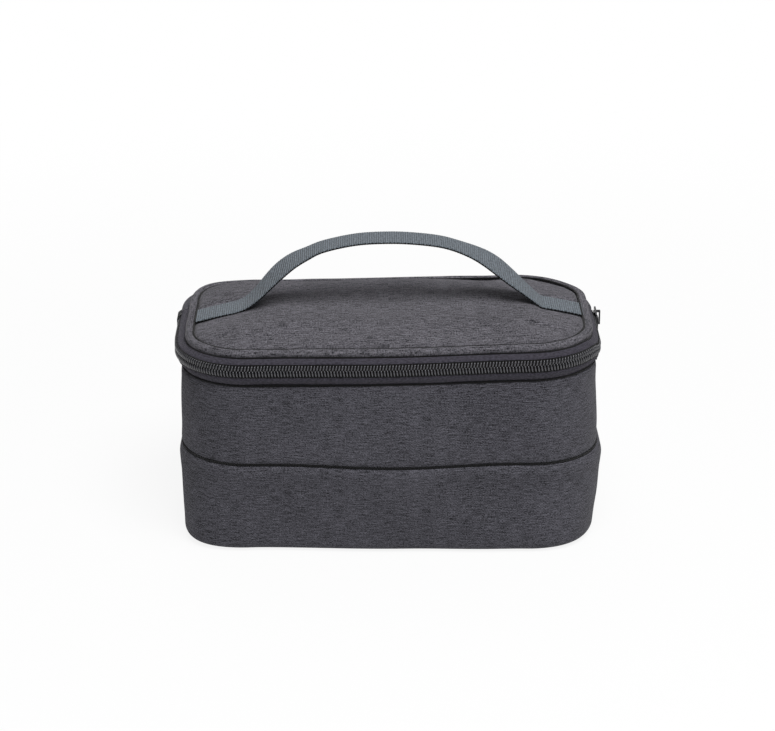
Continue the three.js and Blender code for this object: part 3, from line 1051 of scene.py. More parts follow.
class Wardrobe:
    """The finishes of the bag, made once and shared by its pieces."""

    def __init__(self) -> None:
        """Makes every material."""
        yarn = linear(26, 26, 29)
        # The lid and the wall take lighter and darker copies of one cloth: the lid's lighter light yarn is
        # painted light for the top, which gets more light than the sides.
        lid = HeatherFabric("charcoal_heather_lid_lit", yarn, linear(114, 112, 119), streak_height=1.0)
        tape = RibbedTape("zip_tape_weave", linear(38, 36, 44), linear(76, 73, 84), 0.7, Way.ACROSS)
        binding = RibbedTape("binding_weave", linear(22, 22, 25), linear(42, 42, 47), 0.9, Way.ALONG)
        webbing = RibbedTape(
            "webbing_weave", linear(72, 78, 84), linear(122, 130, 138), 1.25, Way.ALONG, 0.18, 0.2
        )
        self.wall = HeatherFabric("charcoal_heather", yarn, linear(96, 95, 103)).make()
        self.lid, self.tape = lid.make(), tape.make()
        self.binding, self.webbing = binding.make(), webbing.make()
        self.coil = Filament("coil_filament", linear(62, 62, 66)).make()
        # Near-black cloth for the cords and lines that paint shade in seams, creases and along the strap's
        # edges, and for the coil's filler strips, which are partly painted shade.
        self.cord = RibbedTape("painted_shade_cord_weave", linear(5, 5, 6), linear(14, 14, 16), 0.6, Way.ALONG).make()
        self.foil = Foil("foil_film", linear(178, 180, 184)).make()
        self.foam = Foam("foam_sheet", linear(232, 231, 227)).make()
        self.metal = PaintedMetal("painted_metal", linear(38, 38, 41), linear(58, 58, 62)).make()


@dataclass(frozen=True)
class BagShell:
    """The bag's soft wall and base: outer cloth, foam and lining, in millimetres."""

    plan: Plan
    seam_and_shade_cord: float
    base_radius: float = 5.0
    base_gap: float = 0.3
    base_inset: float = 2.4
    bulge: float = 1.2
    lip: float = 1.3
    lip_reach: float = 18.0
    cloth: float = 1.0
    foam: float = 4.0
    foam_slack: float = 0.6
    foam_foot: float = 1.5
    foam_head: float = 0.4
    lining: float = 0.6
    lining_gap: float = 0.4
    lining_foot: float = 1.0
    lining_dip: float = 0.12
    dip_length: float = 60.0
    layer_gap: float = 0.3
    layer_rough: Rough = Rough(0.15, 31, 30.0, 40.0)
    seam_gap: float = 0.1
    rim_lap: float = 0.2
    roll: Roll = Roll(5.0, 1.5)
    lip_roll: Roll = Roll(6.5, 3.2)
    tuck: Roll = Roll(3.6, 1.8)
    upper_rows: int = 46
    lower_rows: int = 38
    edge_rows: int = 15
    layer_rows: int = 24
    binding_rows: int = 13
    # The middle seam's dark cord is painted shade: its radius and how deep it sits stand in for the seam's
    # shadow gap.
    shade_line: float = 0.55
    shade_line_depth: float = 0.7
    slack: float = 0.55
    slack_length: float = 78.0
    slack_reach: float = 14.0
    foot_held: float = 2.0
    foot_level: float = 12.0
    join: float = 40.0
    seam_waver: float = 0.35
    waver_length: float = 130.0
    seam_seed: int = 5
    rim_seed: int = 8
    upper_seed: int = 11
    lower_seed: int = 23
    base_seed: int = 41
    binding: float = 0.6
    binding_gap: float = 0.7
    binding_bends: tuple[Pair, ...] = ((-0.4, 0.2), (0.9, 0.5), (0.0, -0.6))
    step: float = 1.6

    def face(self, height: Array) -> Array:
        """Offset of the wall's outer face.

        Args:
            height: Heights on the wall.

        Returns:
            The offset at each height.
        """
        top, foot = self.plan.wall_top, self.base_radius + self.base_gap
        above = (top - height) / (top - self.seam_and_shade_cord)
        below = np.maximum(height - foot, 0) / (self.seam_and_shade_cord - foot)
        return self.bulge * np.sin(np.pi / 2 * np.clip(np.where(height > self.seam_and_shade_cord, above, below), 0, 1))

    def waver(self, seed: int) -> Array:
        """How far a seam wanders up or down along the walk, as a column."""
        walk = self.plan.walk_steps(self.step)[:, None]
        wander = waves(walk, 0 * walk, self.waver_length, seed)
        return self.seam_waver * wander * self.plan.calm(walk, self.join)

    def panel(self, name: str, outer: Array, heights: Array, lift: Array, free: Array, seed: int) -> Object:
        """A closed ring of outer cloth.

        Args:
            name: Name of the object.
            outer: Offsets of its outer line (m).
            heights: Heights of its outer line (m).
            lift: Up and down shift of each point (n, m).
            free: Distance of each place on the line from the nearest held edge (m).
            seed: Seed of its unevenness.

        Returns:
            The object.
        """
        walk = self.plan.walk_steps(self.step)
        calm = ease(free / self.slack_reach) * self.plan.calm(walk, self.join)[:, None]
        uneven = self.slack * waves(walk[:, None], heights, self.slack_length, seed) * calm
        line = np.column_stack([outer, heights])
        ahead = tangents(line)
        back = line + np.column_stack([-ahead[:, 1], ahead[:, 0]]) * self.cloth
        pick = np.unique(np.linspace(0, len(line) - 1, len(line) // 3).round().astype(int))[::-1]
        section = np.concatenate([line, back[pick]])
        order = np.concatenate([np.arange(len(line)), pick])
        offset, height = section[:, 0] + uneven[:, order], section[:, 1] + lift[:, order]
        return swept_mesh(self.plan, name, walk, offset, height, lengths_round(section))

    def upper_panel(self) -> Object:
        """The cloth between the middle seam and the zip.

        Returns:
            The object.
        """
        low, high = self.seam_and_shade_cord + self.seam_gap, self.plan.wall_top + self.rim_lap
        heights = crowded(self.upper_rows, low, high)
        outer = self.face(heights) - self.roll.at(high - heights) - self.tuck.at(heights - low)
        share = (heights - low) / (high - low)
        lift = self.waver(self.seam_seed) * (1 - share) + self.waver(self.rim_seed) * share
        free = np.minimum(heights - low, high - heights)
        return self.panel("wall_upper_panel", outer, heights, lift, free, self.upper_seed)

    def lower_panel(self) -> Object:
        """The cloth from the rounded lower edge up to the middle seam, lipped over it.

        Returns:
            The object.
        """
        high = self.seam_and_shade_cord - self.seam_gap
        turn = np.linspace(0, np.pi / 2, self.edge_rows, endpoint=False)
        edge_offset = -self.base_radius + self.base_radius * np.sin(turn)
        edge_height = self.base_gap + self.base_radius * (1 - np.cos(turn))
        wall = crowded(self.lower_rows, self.base_gap + self.base_radius, high)
        lip = self.lip * (1 - ease((high - wall) / self.lip_reach))
        wall_offset = self.face(wall) + lip - self.lip_roll.at(high - wall)
        heights = np.concatenate([edge_height, wall])
        outer = np.concatenate([edge_offset, wall_offset])
        lift = self.waver(self.seam_seed) * ease((heights - self.foot_level) / (high - self.foot_level))
        free = np.minimum(heights - self.foot_held, high - heights)
        return self.panel("wall_lower_panel", outer, heights, lift, free, self.lower_seed)

    def seam_shade_line(self) -> Object:
        """A dark cord in the middle seam, painted shade for the seam's shadow gap, which wavers with the
        panels.
        """
        offset = self.face(np.array(self.seam_and_shade_cord)) - self.shade_line_depth
        height = self.seam_and_shade_cord + self.waver(self.seam_seed)
        return cord_mesh(self.plan, "wall_seam_shade_line", self.step, offset, height, self.shade_line)

    def wall_layer(self, name: str, depth: float, thickness: float, bottom: float, top: float) -> Object:
        """A hidden layer of the wall at a depth inside its face.

        Args:
            name: Name of the object.
            depth: Depth of its outer face.
            thickness: Its thickness.
            bottom: Its lowest height.
            top: Its highest height.

        Returns:
            The object.
        """
        heights = np.linspace(bottom, top, self.layer_rows)
        line = np.column_stack([self.face(heights) - depth - thickness / 2, heights])
        walk = self.plan.walk_steps(self.step * 2)
        return strip_mesh(self.plan, name, line, thickness, walk, True, self.layer_rough)

    def flat_layer(self, name: str, offset: float, bottom: float, thickness: float, dip: float) -> Object:
        """A flat layer of the base, with shallow dips in its upper face.

        Args:
            name: Name of the object.
            offset: Offset of its edge from the plan.
            bottom: Height of its lower face.
            thickness: Its thickness.
            dip: Depth of the dips.

        Returns:
            The object.
        """
        def upper(x: Array, y: Array, inside: Array) -> Array:
            """Height of the upper face."""
            calm = ease(inside / self.slack_reach)
            return bottom + thickness + dip * (waves(x, y, self.dip_length, self.base_seed) - 1) * calm

        def lower(x: Array, y: Array, inside: Array) -> Array:
            """Height of the lower face."""
            return np.full(x.shape, bottom)

        return disc_mesh(self.plan, name, offset, bottom, upper, lower)

    def mouth_binding(self, depth: float, top: float) -> Object:
        """The tape folded over the top edge of foam and lining.

        Args:
            depth: Depth of the foam's outer face.
            top: Height of the edge that it covers.

        Returns:
            The object.
        """
        low, high = box_mm("mouth_binding")
        inside = -(depth + self.foam + self.lining + self.binding_gap)
        starts = zip((-depth, inside, inside), self.binding_bends)
        bends = [(start + aside, top + lift) for start, (aside, lift) in starts]
        line = np.array([*bends, (inside, low[2])])
        bend = np.linspace(0, len(line) - 1, self.binding_rows)
        fine = np.column_stack([np.interp(bend, range(len(line)), line[:, k]) for k in range(2)])
        section = rounded_section(fine, self.binding)
        section[:, 1] = np.minimum(section[:, 1], high[2])
        walk = self.plan.walk_steps(self.step * 2)
        across = lengths_round(section)
        return swept_mesh(self.plan, "mouth_edge_binding", walk, section[:, 0], section[:, 1], across)

    def build(self, cloths: Wardrobe) -> None:
        """Makes and dresses every piece of the shell.

        Args:
            cloths: The finishes.
        """
        plan = self.plan
        upper = dress(self.upper_panel(), cloths.wall, Slot.WALL, Body.BAG, "upper_wall_cover")
        lower = dress(self.lower_panel(), cloths.wall, Slot.WALL, Body.BAG, "lower_wall_cover")
        # A dark cord of painted shade along the middle seam.
        dress(self.seam_shade_line(), cloths.cord, Slot.BINDING, Body.BAG)
        edge = -(self.base_radius + self.base_gap)
        base = self.flat_layer("base_panel", edge, 0.0, self.cloth, 0.0)
        dress(base, cloths.wall, Slot.WALL, Body.BAG, "base_cover")
        depth = self.cloth + 3 * self.layer_gap
        bottom = self.cloth + self.layer_gap
        inner = bottom + self.foam + self.layer_gap
        top = plan.wall_top - self.lining - 2 * self.layer_gap
        pad = self.flat_layer("base_padding", -self.base_inset, bottom, self.foam, 0.0)
        dress(pad, cloths.foam, Slot.FOAM, Body.BAG, "base_foam")
        foot, head = inner + self.foam_foot, top - self.foam / 2 - self.foam_head
        wall_pad = self.wall_layer(
            "wall_padding", depth + self.foam_slack, self.foam - self.foam_slack, foot, head
        )
        dress(wall_pad, cloths.foam, Slot.FOAM, Body.BAG, "wall_foam")
        film = self.flat_layer("base_lining", -self.base_inset, inner, self.lining, self.lining_dip)
        dress(film, cloths.foil, Slot.FOIL, Body.BAG, "base_liner")
        behind, foot = depth + self.foam + self.lining_gap, inner + self.lining_foot
        wall_film = self.wall_layer("wall_lining", behind, self.lining, foot, top)
        dress(wall_film, cloths.foil, Slot.FOIL, Body.BAG, "wall_liner")
        dress(self.mouth_binding(depth, top), cloths.binding, Slot.BINDING, Body.BAG, "mouth_binding")


@dataclass(frozen=True)
class Puff:
    """Soft filling blown into a pad by a short cloth simulation; limit of the motion in millimetres."""

    pressure: float = 4.0
    frames: int = 20
    limit: float = 1.4
    quality: int = 6
    mass: float = 0.3
    stretch: float = 20.0
    shear: float = 10.0
    bending: float = 1.5

    def blow(self, obj: Object, held: Array) -> None:
        """Swells a closed mesh and keeps the result, with every point's motion limited.

        Args:
            obj: The pad.
            held: Whether each vertex stays where it is.
        """
        scene = bpy.context.scene
        group = obj.vertex_groups.new(name="held")
        group.add(np.flatnonzero(held).tolist(), 1.0, "REPLACE")
        cloth = obj.modifiers.new("filling", "CLOTH")
        settings = cloth.settings
        settings.quality = self.quality
        settings.mass = self.mass
        settings.tension_stiffness = settings.compression_stiffness = self.stretch
        settings.shear_stiffness = self.shear
        settings.bending_stiffness = self.bending
        settings.vertex_group_mass = group.name
        settings.use_pressure = True
        settings.uniform_pressure_force = self.pressure
        settings.effector_weights.gravity = 0.0
        cloth.point_cache.frame_start, cloth.point_cache.frame_end = 1, self.frames
        before, after = np.zeros((2, len(held) * 3))
        obj.data.vertices.foreach_get("co", before)
        for number in range(1, self.frames + 1):
            scene.frame_set(number)
        swollen = obj.evaluated_get(bpy.context.evaluated_depsgraph_get()).data
        swollen.vertices.foreach_get("co", after)
        scene.frame_set(1)
        obj.modifiers.remove(cloth)
        motion = (after - before).reshape(-1, 3)
        size = np.linalg.norm(motion, axis=1, keepdims=True)
        limit = self.limit * MM
        kept = motion * (limit * np.tanh(size / limit) / np.maximum(size, 1e-9))
        obj.data.vertices.foreach_set("co", (before.reshape(-1, 3) + kept).ravel())
        obj.data.update()
        LOG.info("%s: filled, swollen by %.2f mm at most", obj.name, np.linalg.norm(kept, axis=1).max() / MM)


@dataclass(frozen=True)
class Winding:
    """Where the filament of one row is wound, outwards from the chain's middle, in millimetres."""

    start: float
    end: float
    # How far the black filler strip reaches; it runs past the filament to paint a dark line of shade along
    # the row's edge.
    filler_shade_start: float
    filler_shade_end: float


@dataclass(frozen=True)
class CoilZip:
    """The zip: two tapes, two rows of wound filament, and the band that carries on round the back.

    Sizes are in millimetres.
    """

    plan: Plan
    middle: float
    rim: float
    stand_off: float = 1.1
    tape: float = 0.5
    tape_roughs: tuple[Rough, Rough] = (Rough(0.1, 51), Rough(0.1, 52))
    tuck: float = 4.0
    lap: float = 0.3
    flat_reach: float = 3.3
    flat_bend: float = 0.5
    edge_bend: float = 0.9
    straight_reach: float = 5.1
    rim_bends: tuple[Pair, Pair] = ((-0.4, -2.0), (-2.4, -2.8))
    behind: float = -0.05
    parting: float = 0.4
    chain_end: float = 20.5
    pitch: float = 1.7
    filament: float = 0.3
    swell: float = 0.22
    pinch: float = 0.2
    lower_winding: Winding = Winding(-0.1, 3.2, 0.05, 3.8)
    upper_winding: Winding = Winding(0.2, 3.0, 0.05, 3.5)
    loop_out: float = 0.25
    loop_half_depth: float = 0.8
    loop_sides: int = 7
    # The black filler strips, partly real filler and partly painted shade.
    cord: float = 0.4
    filler_shade_out: float = 0.2
    # A dark cord of painted shade at the foot of the lower tape, where the wall's top seam lies in shadow.
    shade_line: float = 0.5
    shade_line_offset: float = -1.0
    shade_line_lift: float = 0.5
    groove: float = -2.2
    tab_half: float = 4.6
    tab_rise: float = 2.1
    tab_slope: float = 1.5
    tab_gap: float = 0.3
    tab_length: float = 9.0
    fold_half: float = 0.02
    band_gap: float = 0.05
    band_rough: Rough = Rough(0.12, 57)
    turn_steps: int = 16
    step: float = 1.6

    @property
    def sides(self) -> Pair:
        """Walk's lengths where the tapes start on the left side and end on the right."""
        return self.plan.start_of(Stretch.LEFT_SIDE), self.plan.start_of(Stretch.RIGHT_REAR_CORNER)

    @property
    def chain(self) -> Pair:
        """Walk's lengths at the chain's left and right ends."""
        past = self.plan.depth / 2 - self.plan.corner - self.chain_end
        return self.sides[0] + past, self.sides[1] - past

    def winding(self, row: Row) -> Winding:
        """The winding of a row."""
        return self.lower_winding if row is Row.LOWER else self.upper_winding

    def wall_line(self) -> list[Pair]:
        """Line of the cloth that comes out of the wall's top seam."""
        top, high = self.plan.wall_top, self.middle - self.straight_reach
        return [(self.groove, top - self.tuck), (self.groove, top + self.lap), (self.stand_off, high)]

    def rim_line(self) -> list[Pair]:
        """Line of the cloth that goes up under the lid's rolled edge."""
        bends = [(aside - ROLL_INSET, self.rim + lift) for aside, lift in self.rim_bends]
        return [(self.stand_off, self.middle + self.flat_reach + self.flat_bend), *bends]

    def edge_line(self, row: Row) -> list[Pair]:
        """Line of a tape behind the chain, from its straight part to its edge."""
        reaches = (self.flat_reach, self.flat_reach - self.edge_bend, self.parting)
        offsets = (self.stand_off, self.behind, self.behind)
        return [(offset, self.middle + row.value * reach) for offset, reach in zip(offsets, reaches)]

    def tapes(self, cloths: Wardrobe) -> None:
        """Makes and dresses both tapes.

        Args:
            cloths: The finishes.
        """
        walk = self.plan.walk_steps(self.step, *self.sides)
        lower = self.wall_line() + self.edge_line(Row.LOWER)
        upper = self.edge_line(Row.UPPER)[::-1] + self.rim_line()
        for row, bends, rough in zip(Row, (lower, upper), self.tape_roughs):
            name, line = f"zip_{row.word}_tape", smoothed(bends)
            tape = strip_mesh(self.plan, name, line, self.tape, walk, False, rough)
            dress(tape, cloths.tape, Slot.TAPE, row.body, f"zip_tape_{row.word}")

    def coil(self, row: Row) -> Object:
        """One row of the chain, wound as a flattened coil.

        Args:
            row: The row.

        Returns:
            The object.
        """
        wound, (start, end) = self.winding(row), self.chain
        turns = math.floor((end - start) / self.pitch)
        angle = np.linspace(0, 2 * np.pi * turns, turns * self.turn_steps + 1)
        walk = start + angle / (2 * np.pi) * self.pitch
        phase = angle + (np.pi if row is Row.LOWER else 0.0)
        spot = self.plan.points(walk, np.array(self.stand_off), np.array(self.middle))[:, 0] / MM
        slim = 1 - self.pinch * SAG.still(*spot.T)
        offset = self.stand_off + self.loop_out - self.loop_half_depth * slim * np.sin(phase)
        rise = (wound.start + (wound.end - wound.start) * (1 + np.cos(phase)) / 2) * slim
        height = self.middle + row.value * rise
        path = self.plan.points(walk, offset[:, None], height[:, None])[:, 0]
        _, out, _ = self.plan.spots(walk)
        axis = np.column_stack([-out[:, 1], out[:, 0], np.zeros(len(walk))])
        radius = (self.filament - self.swell * np.minimum(np.sin(phase), 0)) * slim
        return tube_mesh(f"zip_{row.word}_coil", path, axis, radius, self.loop_sides)

    def filler_and_shade(self, row: Row) -> Object:
        """The flat black cord that the filament of one row is wound round: partly a real filler and partly
        painted shade, black so that the gaps between the loops read as shadow, and reaching past the loops as
        a dark line of shade.

        Args:
            row: The row.

        Returns:
            The object.
        """
        walk = self.plan.walk_steps(self.step, *self.chain)
        rises = np.linspace(self.winding(row).filler_shade_start, self.winding(row).filler_shade_end, 8)
        offset = np.full(len(rises), self.stand_off + self.filler_shade_out)
        line = np.column_stack([offset, self.middle + row.value * rises])
        return strip_mesh(self.plan, f"zip_{row.word}_cord", line, self.cord, walk, False)

    def end_tab(self, row: Row) -> Object:
        """The tape sewn over the far end of one row of the chain.

        Args:
            row: The row.

        Returns:
            The object.
        """
        foot, face = self.stand_off + self.tape, self.stand_off + self.tab_rise
        rises = [(foot, self.tab_half), (face, self.tab_half - self.tab_slope), (face, self.tab_gap)]
        line = smoothed([(offset, self.middle + row.value * rise) for offset, rise in rises])
        end, half = self.chain[0], self.tab_length / 2
        walk = self.plan.walk_steps(self.step / 2, end - half, end + half)
        return strip_mesh(self.plan, f"zip_{row.word}_end_tab", line, self.tape, walk, False)

    def hinge_band(self, cloths: Wardrobe) -> None:
        """Makes and dresses the band round the rear corners and the back, which rides on no body.

        Args:
            cloths: The finishes.
        """
        left, right = self.sides
        walk = self.plan.walk_steps(self.step, right + self.band_gap, self.plan.length + left - self.band_gap)
        line = smoothed(self.wall_line() + self.rim_line())
        band = strip_mesh(self.plan, "rear_hinge", line, self.tape, walk, False, self.band_rough)
        dress(band, cloths.wall, Slot.WALL, None, "rear_hinge_band")
        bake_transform(band)
        flat = ((walk[-1] - walk[0]) * MM, lengths(line)[-1] * MM)

    def build(self, cloths: Wardrobe) -> None:
        """Makes and dresses every piece of the zip.

        Args:
            cloths: The finishes.
        """
        self.tapes(cloths)
        for row in Row:
            dress(self.coil(row), cloths.coil, Slot.COIL, row.body, f"zip_coil_{row.word}")
        # Black filler strips: partly real filler, partly painted shade in the coil's gaps and along its
        # edges.
        for row in Row:
            dress(self.filler_and_shade(row), cloths.cord, Slot.COIL, row.body)
        # A dark cord of painted shade along the wall's top seam.
        height = self.plan.wall_top + self.shade_line_lift
        shade_line = cord_mesh(self.plan, "zip_seam_shade_line", self.step, self.shade_line_offset, height, self.shade_line)
        dress(shade_line, cloths.cord, Slot.BINDING, Body.BAG)
        for row in Row:
            dress(self.end_tab(row), cloths.binding, Slot.BINDING, row.body)
        self.hinge_band(cloths)


@dataclass(frozen=True)
class WebbingHandle:
    """The carry strap: sewn down at both ends and standing up in an arch, in millimetres.

    Its line is given as places across the bag and heights of the strap's middle.
    """

    width: float = 20.0
    thickness: float = 1.5
    centre: float = -1.0
    lean: float = 2.0
    lean_at: float = 62.0
    lean_width: float = 15.0
    edge_pitch: float = 1.5
    edge_depth: float = 0.12
    flat_count: int = 12
    round_count: int = 5
    # Size, inset, looping and sides of the dark lines along the strap's edges, which paint the shade under
    # the woven edge's bumps.
    thread_and_shade_line: float = 0.5
    shade_line_inset: float = 0.1
    shade_line_pitch: float = 2.0
    shade_line_swell: float = 0.3
    shade_line_sides: int = 6
    bend_from: float = 1.0
    bend_to: float = 22.0
    span_steps: int = 24
    step: float = 0.4
    line: tuple[Pair, ...] = (
        (-108.6, 117.8), (-104, 118.9), (-98, 120.4), (-91, 122.0), (-85, 123.4), (-79, 126.3), (-73, 131.6),
        (-67, 138.2), (-61, 144.2), (-54, 149.6), (-46, 153.8), (-36, 158.1), (-18, 161.7), (0, 162.4),
        (16, 161.4), (31, 159.0), (44.5, 154.2), (53.5, 149.6), (60.4, 144.8), (66.8, 139.3), (72.8, 134.0),
        (78.2, 129.2), (82.4, 125.5), (85.0, 123.3), (86.6, 122.5), (89.2, 122.0), (95, 120.8), (103, 119.0),
        (108.9, 117.5),
    )

    def path(self) -> Array:
        """The strap's middle line, drawn smoothly through its given places.

        Returns:
            Evenly spaced points (n, 2).
        """
        places = np.array(self.line, float)
        before = np.concatenate([2 * places[:1] - places[1:2], places[:-1]])
        after = np.concatenate([places[1:], 2 * places[-1:] - places[-2:-1]])
        slope = (after - before) / 2
        share = np.linspace(0, 1, self.span_steps, endpoint=False)[:, None]
        cube, square = share**3, share**2
        spans = []
        for p, q, m, n in zip(places, places[1:], slope, slope[1:]):
            first = (2 * cube - 3 * square + 1) * p + (cube - 2 * square + share) * m
            spans.append(first + (3 * square - 2 * cube) * q + (cube - square) * n)
        fine = np.concatenate(spans + [places[-1:]])
        reach = lengths(fine)
        even = np.linspace(0, reach[-1], round(reach[-1] / self.step))
        return np.column_stack([np.interp(even, reach, fine[:, k]) for k in range(2)])

    def height_at(self, x: Array) -> Array:
        """Height of the strap's middle line at places across the bag."""
        line = self.path()
        return np.interp(x, line[:, 0], line[:, 1])

    def course(self) -> tuple[Array, Array, Array]:
        """The strap's middle line and how it lies.

        Returns:
            Points (n, 2), upward directions (n, 2), and how far the rear edge leans up (n, 1).
        """
        line = self.path()
        ahead = tangents(line)
        lean = self.lean * np.exp(-(((np.abs(line[:, :1]) - self.lean_at) / self.lean_width) ** 2))
        return line, np.column_stack([-ahead[:, 1], ahead[:, 0]]), lean

    def strap(self) -> Object:
        """The strap as one piece, with rounded woven edges.

        Returns:
            The object.
        """
        line, up, lean = self.course()
        reach = lengths(line)
        half, thick = self.width / 2, self.thickness / 2
        flat = np.linspace(-half + thick, half - thick, self.flat_count)
        turn = np.linspace(-np.pi / 2, np.pi / 2, self.round_count)[1:-1]
        far, even = half - thick + thick * np.cos(turn), np.full(self.flat_count, thick)
        across = np.concatenate([flat, far, flat[::-1], -far])
        level = np.concatenate([-even, thick * np.sin(turn), even, -thick * np.sin(turn)])
        edge = np.clip((np.abs(across) - half + 2 * thick) / (2 * thick), 0, 1)
        picks = 1 + self.edge_depth * np.sin(2 * np.pi * reach[:, None] / self.edge_pitch) * edge
        rise = level * picks + lean * across / half
        aside = self.centre + np.broadcast_to(across, rise.shape)
        points = np.stack([line[:, :1] + up[:, :1] * rise, aside, line[:, 1:] + up[:, 1:] * rise], 2)
        section = np.column_stack([across, level])
        return grid_mesh("handle_strap", points * MM, False, reach, lengths_round(section))

    def edge_shade_line(self, name: str, side: int) -> Object:
        """A dark line along one edge of the strap, painted shade for the shadow under the woven edge's bumps;
        it loops along the edge.

        Args:
            name: Name of the object.
            side: -1 for the front edge, 1 for the rear one.

        Returns:
            The object.
        """
        line, up, lean = self.course()
        middle = line + up * side * lean
        aside = np.full(len(line), self.centre + side * (self.width / 2 - self.shade_line_inset))
        path = np.column_stack([middle[:, 0], aside, middle[:, 1]]) * MM
        axis = np.tile([0.0, 1.0, 0.0], (len(line), 1))
        loops = np.sin(2 * np.pi * np.arange(len(line)) * self.step / self.shade_line_pitch)
        radius = self.thread_and_shade_line * (1 - self.shade_line_swell + self.shade_line_swell * loops)
        return tube_mesh(name, path, axis, radius, self.shade_line_sides)

    def build(self, cloths: Wardrobe, lid_level: float) -> None:
        """Makes and dresses the strap, which spans the lid and the handle's arch but rides on neither body.

        Args:
            cloths: The finishes.
            lid_level: Height where the strap leaves the lid; not used.
        """
        strap = self.strap()
        nodes = ("handle_foot_left", "handle_foot_right", "handle_grip")
        dress(strap, cloths.webbing, Slot.WEBBING, None, *nodes)
        # Dark lines of painted shade along both edges of the strap.
        threads_and_shade_lines = [self.edge_shade_line("handle_front_edge_shade", -1), self.edge_shade_line("handle_rear_edge_shade", 1)]
        for thread_and_shade_line in threads_and_shade_lines:
            dress(thread_and_shade_line, cloths.cord, Slot.WEBBING, None)
        for piece in [strap, *threads_and_shade_lines]:
            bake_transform(piece)


@dataclass(frozen=True)
class PaddedLid:
    """The lid: a puffed cover in a rolled edge, with foam, lining and binding under it, in millimetres."""

    plan: Plan
    rim: float
    rim_radius: float
    crown: float
    handle: WebbingHandle
    cover: float = 1.0
    cover_lap: float = 0.6
    cover_cells: int = 96
    cover_crowding: float = 0.8
    foam: float = 4.0
    foam_drop: float = 0.5
    lining: float = 0.6
    lining_inset: float = 1.2
    layer_gap: float = 0.3
    set_back: float = 2.0
    # Radius and places of the dark cords on both sides of the rolled edge, painted shade for the creases
    # there.
    seam_and_shade_cord: float = 0.55
    inner_shade_cord: Pair = (-2.35, 1.5)
    outer_shade_cord: Pair = (1.9, -1.75)
    shade_cord_climb: float = 1.6
    roll_sides: int = 24
    roll_rough: Rough = Rough(0.12, 71, 30.0)
    dent: float = 2.0
    dent_aside: Ramp = Ramp(20.0, 50.0)
    dent_back: Ramp = Ramp(0.0, 50.0)
    press_gap: float = 0.25
    press_rise: float = 6.0
    press_reach: float = 9.0
    press_soft: float = 0.6
    edge_drop: float = 1.2
    edge: Roll = Roll(2.6, 3.4)
    dome_reach: float = 46.0
    dome_power: float = 3.0
    slack: float = 0.5
    slack_length: float = 46.0
    slack_reach: float = 16.0
    slack_seed: int = 61
    crumple: float = 0.25
    crumple_length: float = 24.0
    crumple_reach: float = 8.0
    crumple_seed: int = 67
    binding: float = 0.6
    binding_tilt: float = 0.2
    binding_step: float = 0.8
    binding_passes: int = 2
    binding_rough: Rough = Rough(0.1, 73)
    step: float = 1.6

    @property
    def rim_offset(self) -> float:
        """Offset of the middle of the lid's roll from the plan."""
        return -ROLL_INSET - self.rim_radius

    def dome(self, inside: Array) -> Array:
        """Height of the lid's top.

        Args:
            inside: Distances inside its edge.

        Returns:
            The height at each distance.
        """
        low = self.rim + self.layer_gap - self.edge_drop
        edge = self.edge.depth - self.edge.at(inside)
        crown = 1 - np.clip(1 - inside / self.dome_reach, 0, 1) ** self.dome_power
        return low + edge + (self.crown - low - self.edge.depth) * crown

    def pressed(self, x: Array, y: Array, height: Array) -> Array:
        """Heights of the lid's top with its flat rear corner, and the strap's ends pressed into it.

        Args:
            x: Places across the bag.
            y: Places from front to back.
            height: Heights of the even top.

        Returns:
            The lowered heights.
        """
        dent = self.dent * self.dent_aside.at(x) * self.dent_back.at(y)
        under = self.handle.height_at(x) - self.handle.thickness / 2 - self.press_gap
        aside = np.maximum(np.abs(y - self.handle.centre) - self.handle.width / 2, 0)
        ceiling = under + self.press_rise * (1 - np.exp(-((aside / self.press_reach) ** 2)))
        over = (height - dent - ceiling) / self.press_soft
        return height - dent - self.press_soft * np.log1p(np.exp(over))

    def top(self, drop: float = 0.0) -> Relief:
        """Faces of the cover.

        Args:
            drop: Depth of the face under the cover's upper face.

        Returns:
            The face's height from x, y and the distance to the edge.
        """
        def face(x: Array, y: Array, inside: Array) -> Array:
            """Height of the face."""
            slack = self.slack * waves(x, y, self.slack_length, self.slack_seed)
            return self.pressed(x, y, self.dome(inside) + slack * ease(inside / self.slack_reach)) - drop

        return face

    def under(self, drop: float, set_back: float = 0.0, crumple: float = 0.0) -> Relief:
        """Faces of the layers under the cover.

        Args:
            drop: Depth of the face under the even top.
            set_back: How far the layer's edge lies behind the lining's.
            crumple: Depth of its creases.

        Returns:
            The face's height from x, y and the distance to the edge.
        """
        def face(x: Array, y: Array, inside: Array) -> Array:
            """Height of the face."""
            creases = crumple * waves(x, y, self.crumple_length, self.crumple_seed)
            even = self.pressed(x, y, self.dome(inside + set_back)) - drop
            return even + creases * ease(inside / self.crumple_reach)

        return face

    def padded_cover(self, edge: float) -> Object:
        """The cover, puffed up between its sewn edges.

        Args:
            edge: Offset of its edge from the plan.

        Returns:
            The object.
        """
        pad = disc_mesh(
            self.plan, "lid_pad", edge, self.rim, self.top(), self.top(self.cover), self.cover_cells,
            self.cover_crowding,
        )
        free = np.zeros((2, self.cover_cells + 1, self.cover_cells + 1), bool)
        free[0, 1:-1, 1:-1] = True
        Puff().blow(pad, ~free.ravel())
        return pad

    def over_strap(self, height: float) -> Array:
        """Heights round the lid of the inner dark cord of painted shade, which climbs over the strap's sewn
        ends.

        Args:
            height: Height of the cord elsewhere.

        Returns:
            The heights, as a column.
        """
        centre, out, _ = self.plan.spots(self.plan.walk_steps(self.step))
        x, y = (centre + out * (self.plan.corner + self.rim_offset)).T
        aside = np.abs(y - self.handle.centre) - self.handle.width / 2
        strap_top = self.handle.height_at(x) + self.handle.thickness / 2 + self.seam_and_shade_cord / 2
        return (height + ease(1 - aside / self.shade_cord_climb) * (strap_top - height))[:, None]

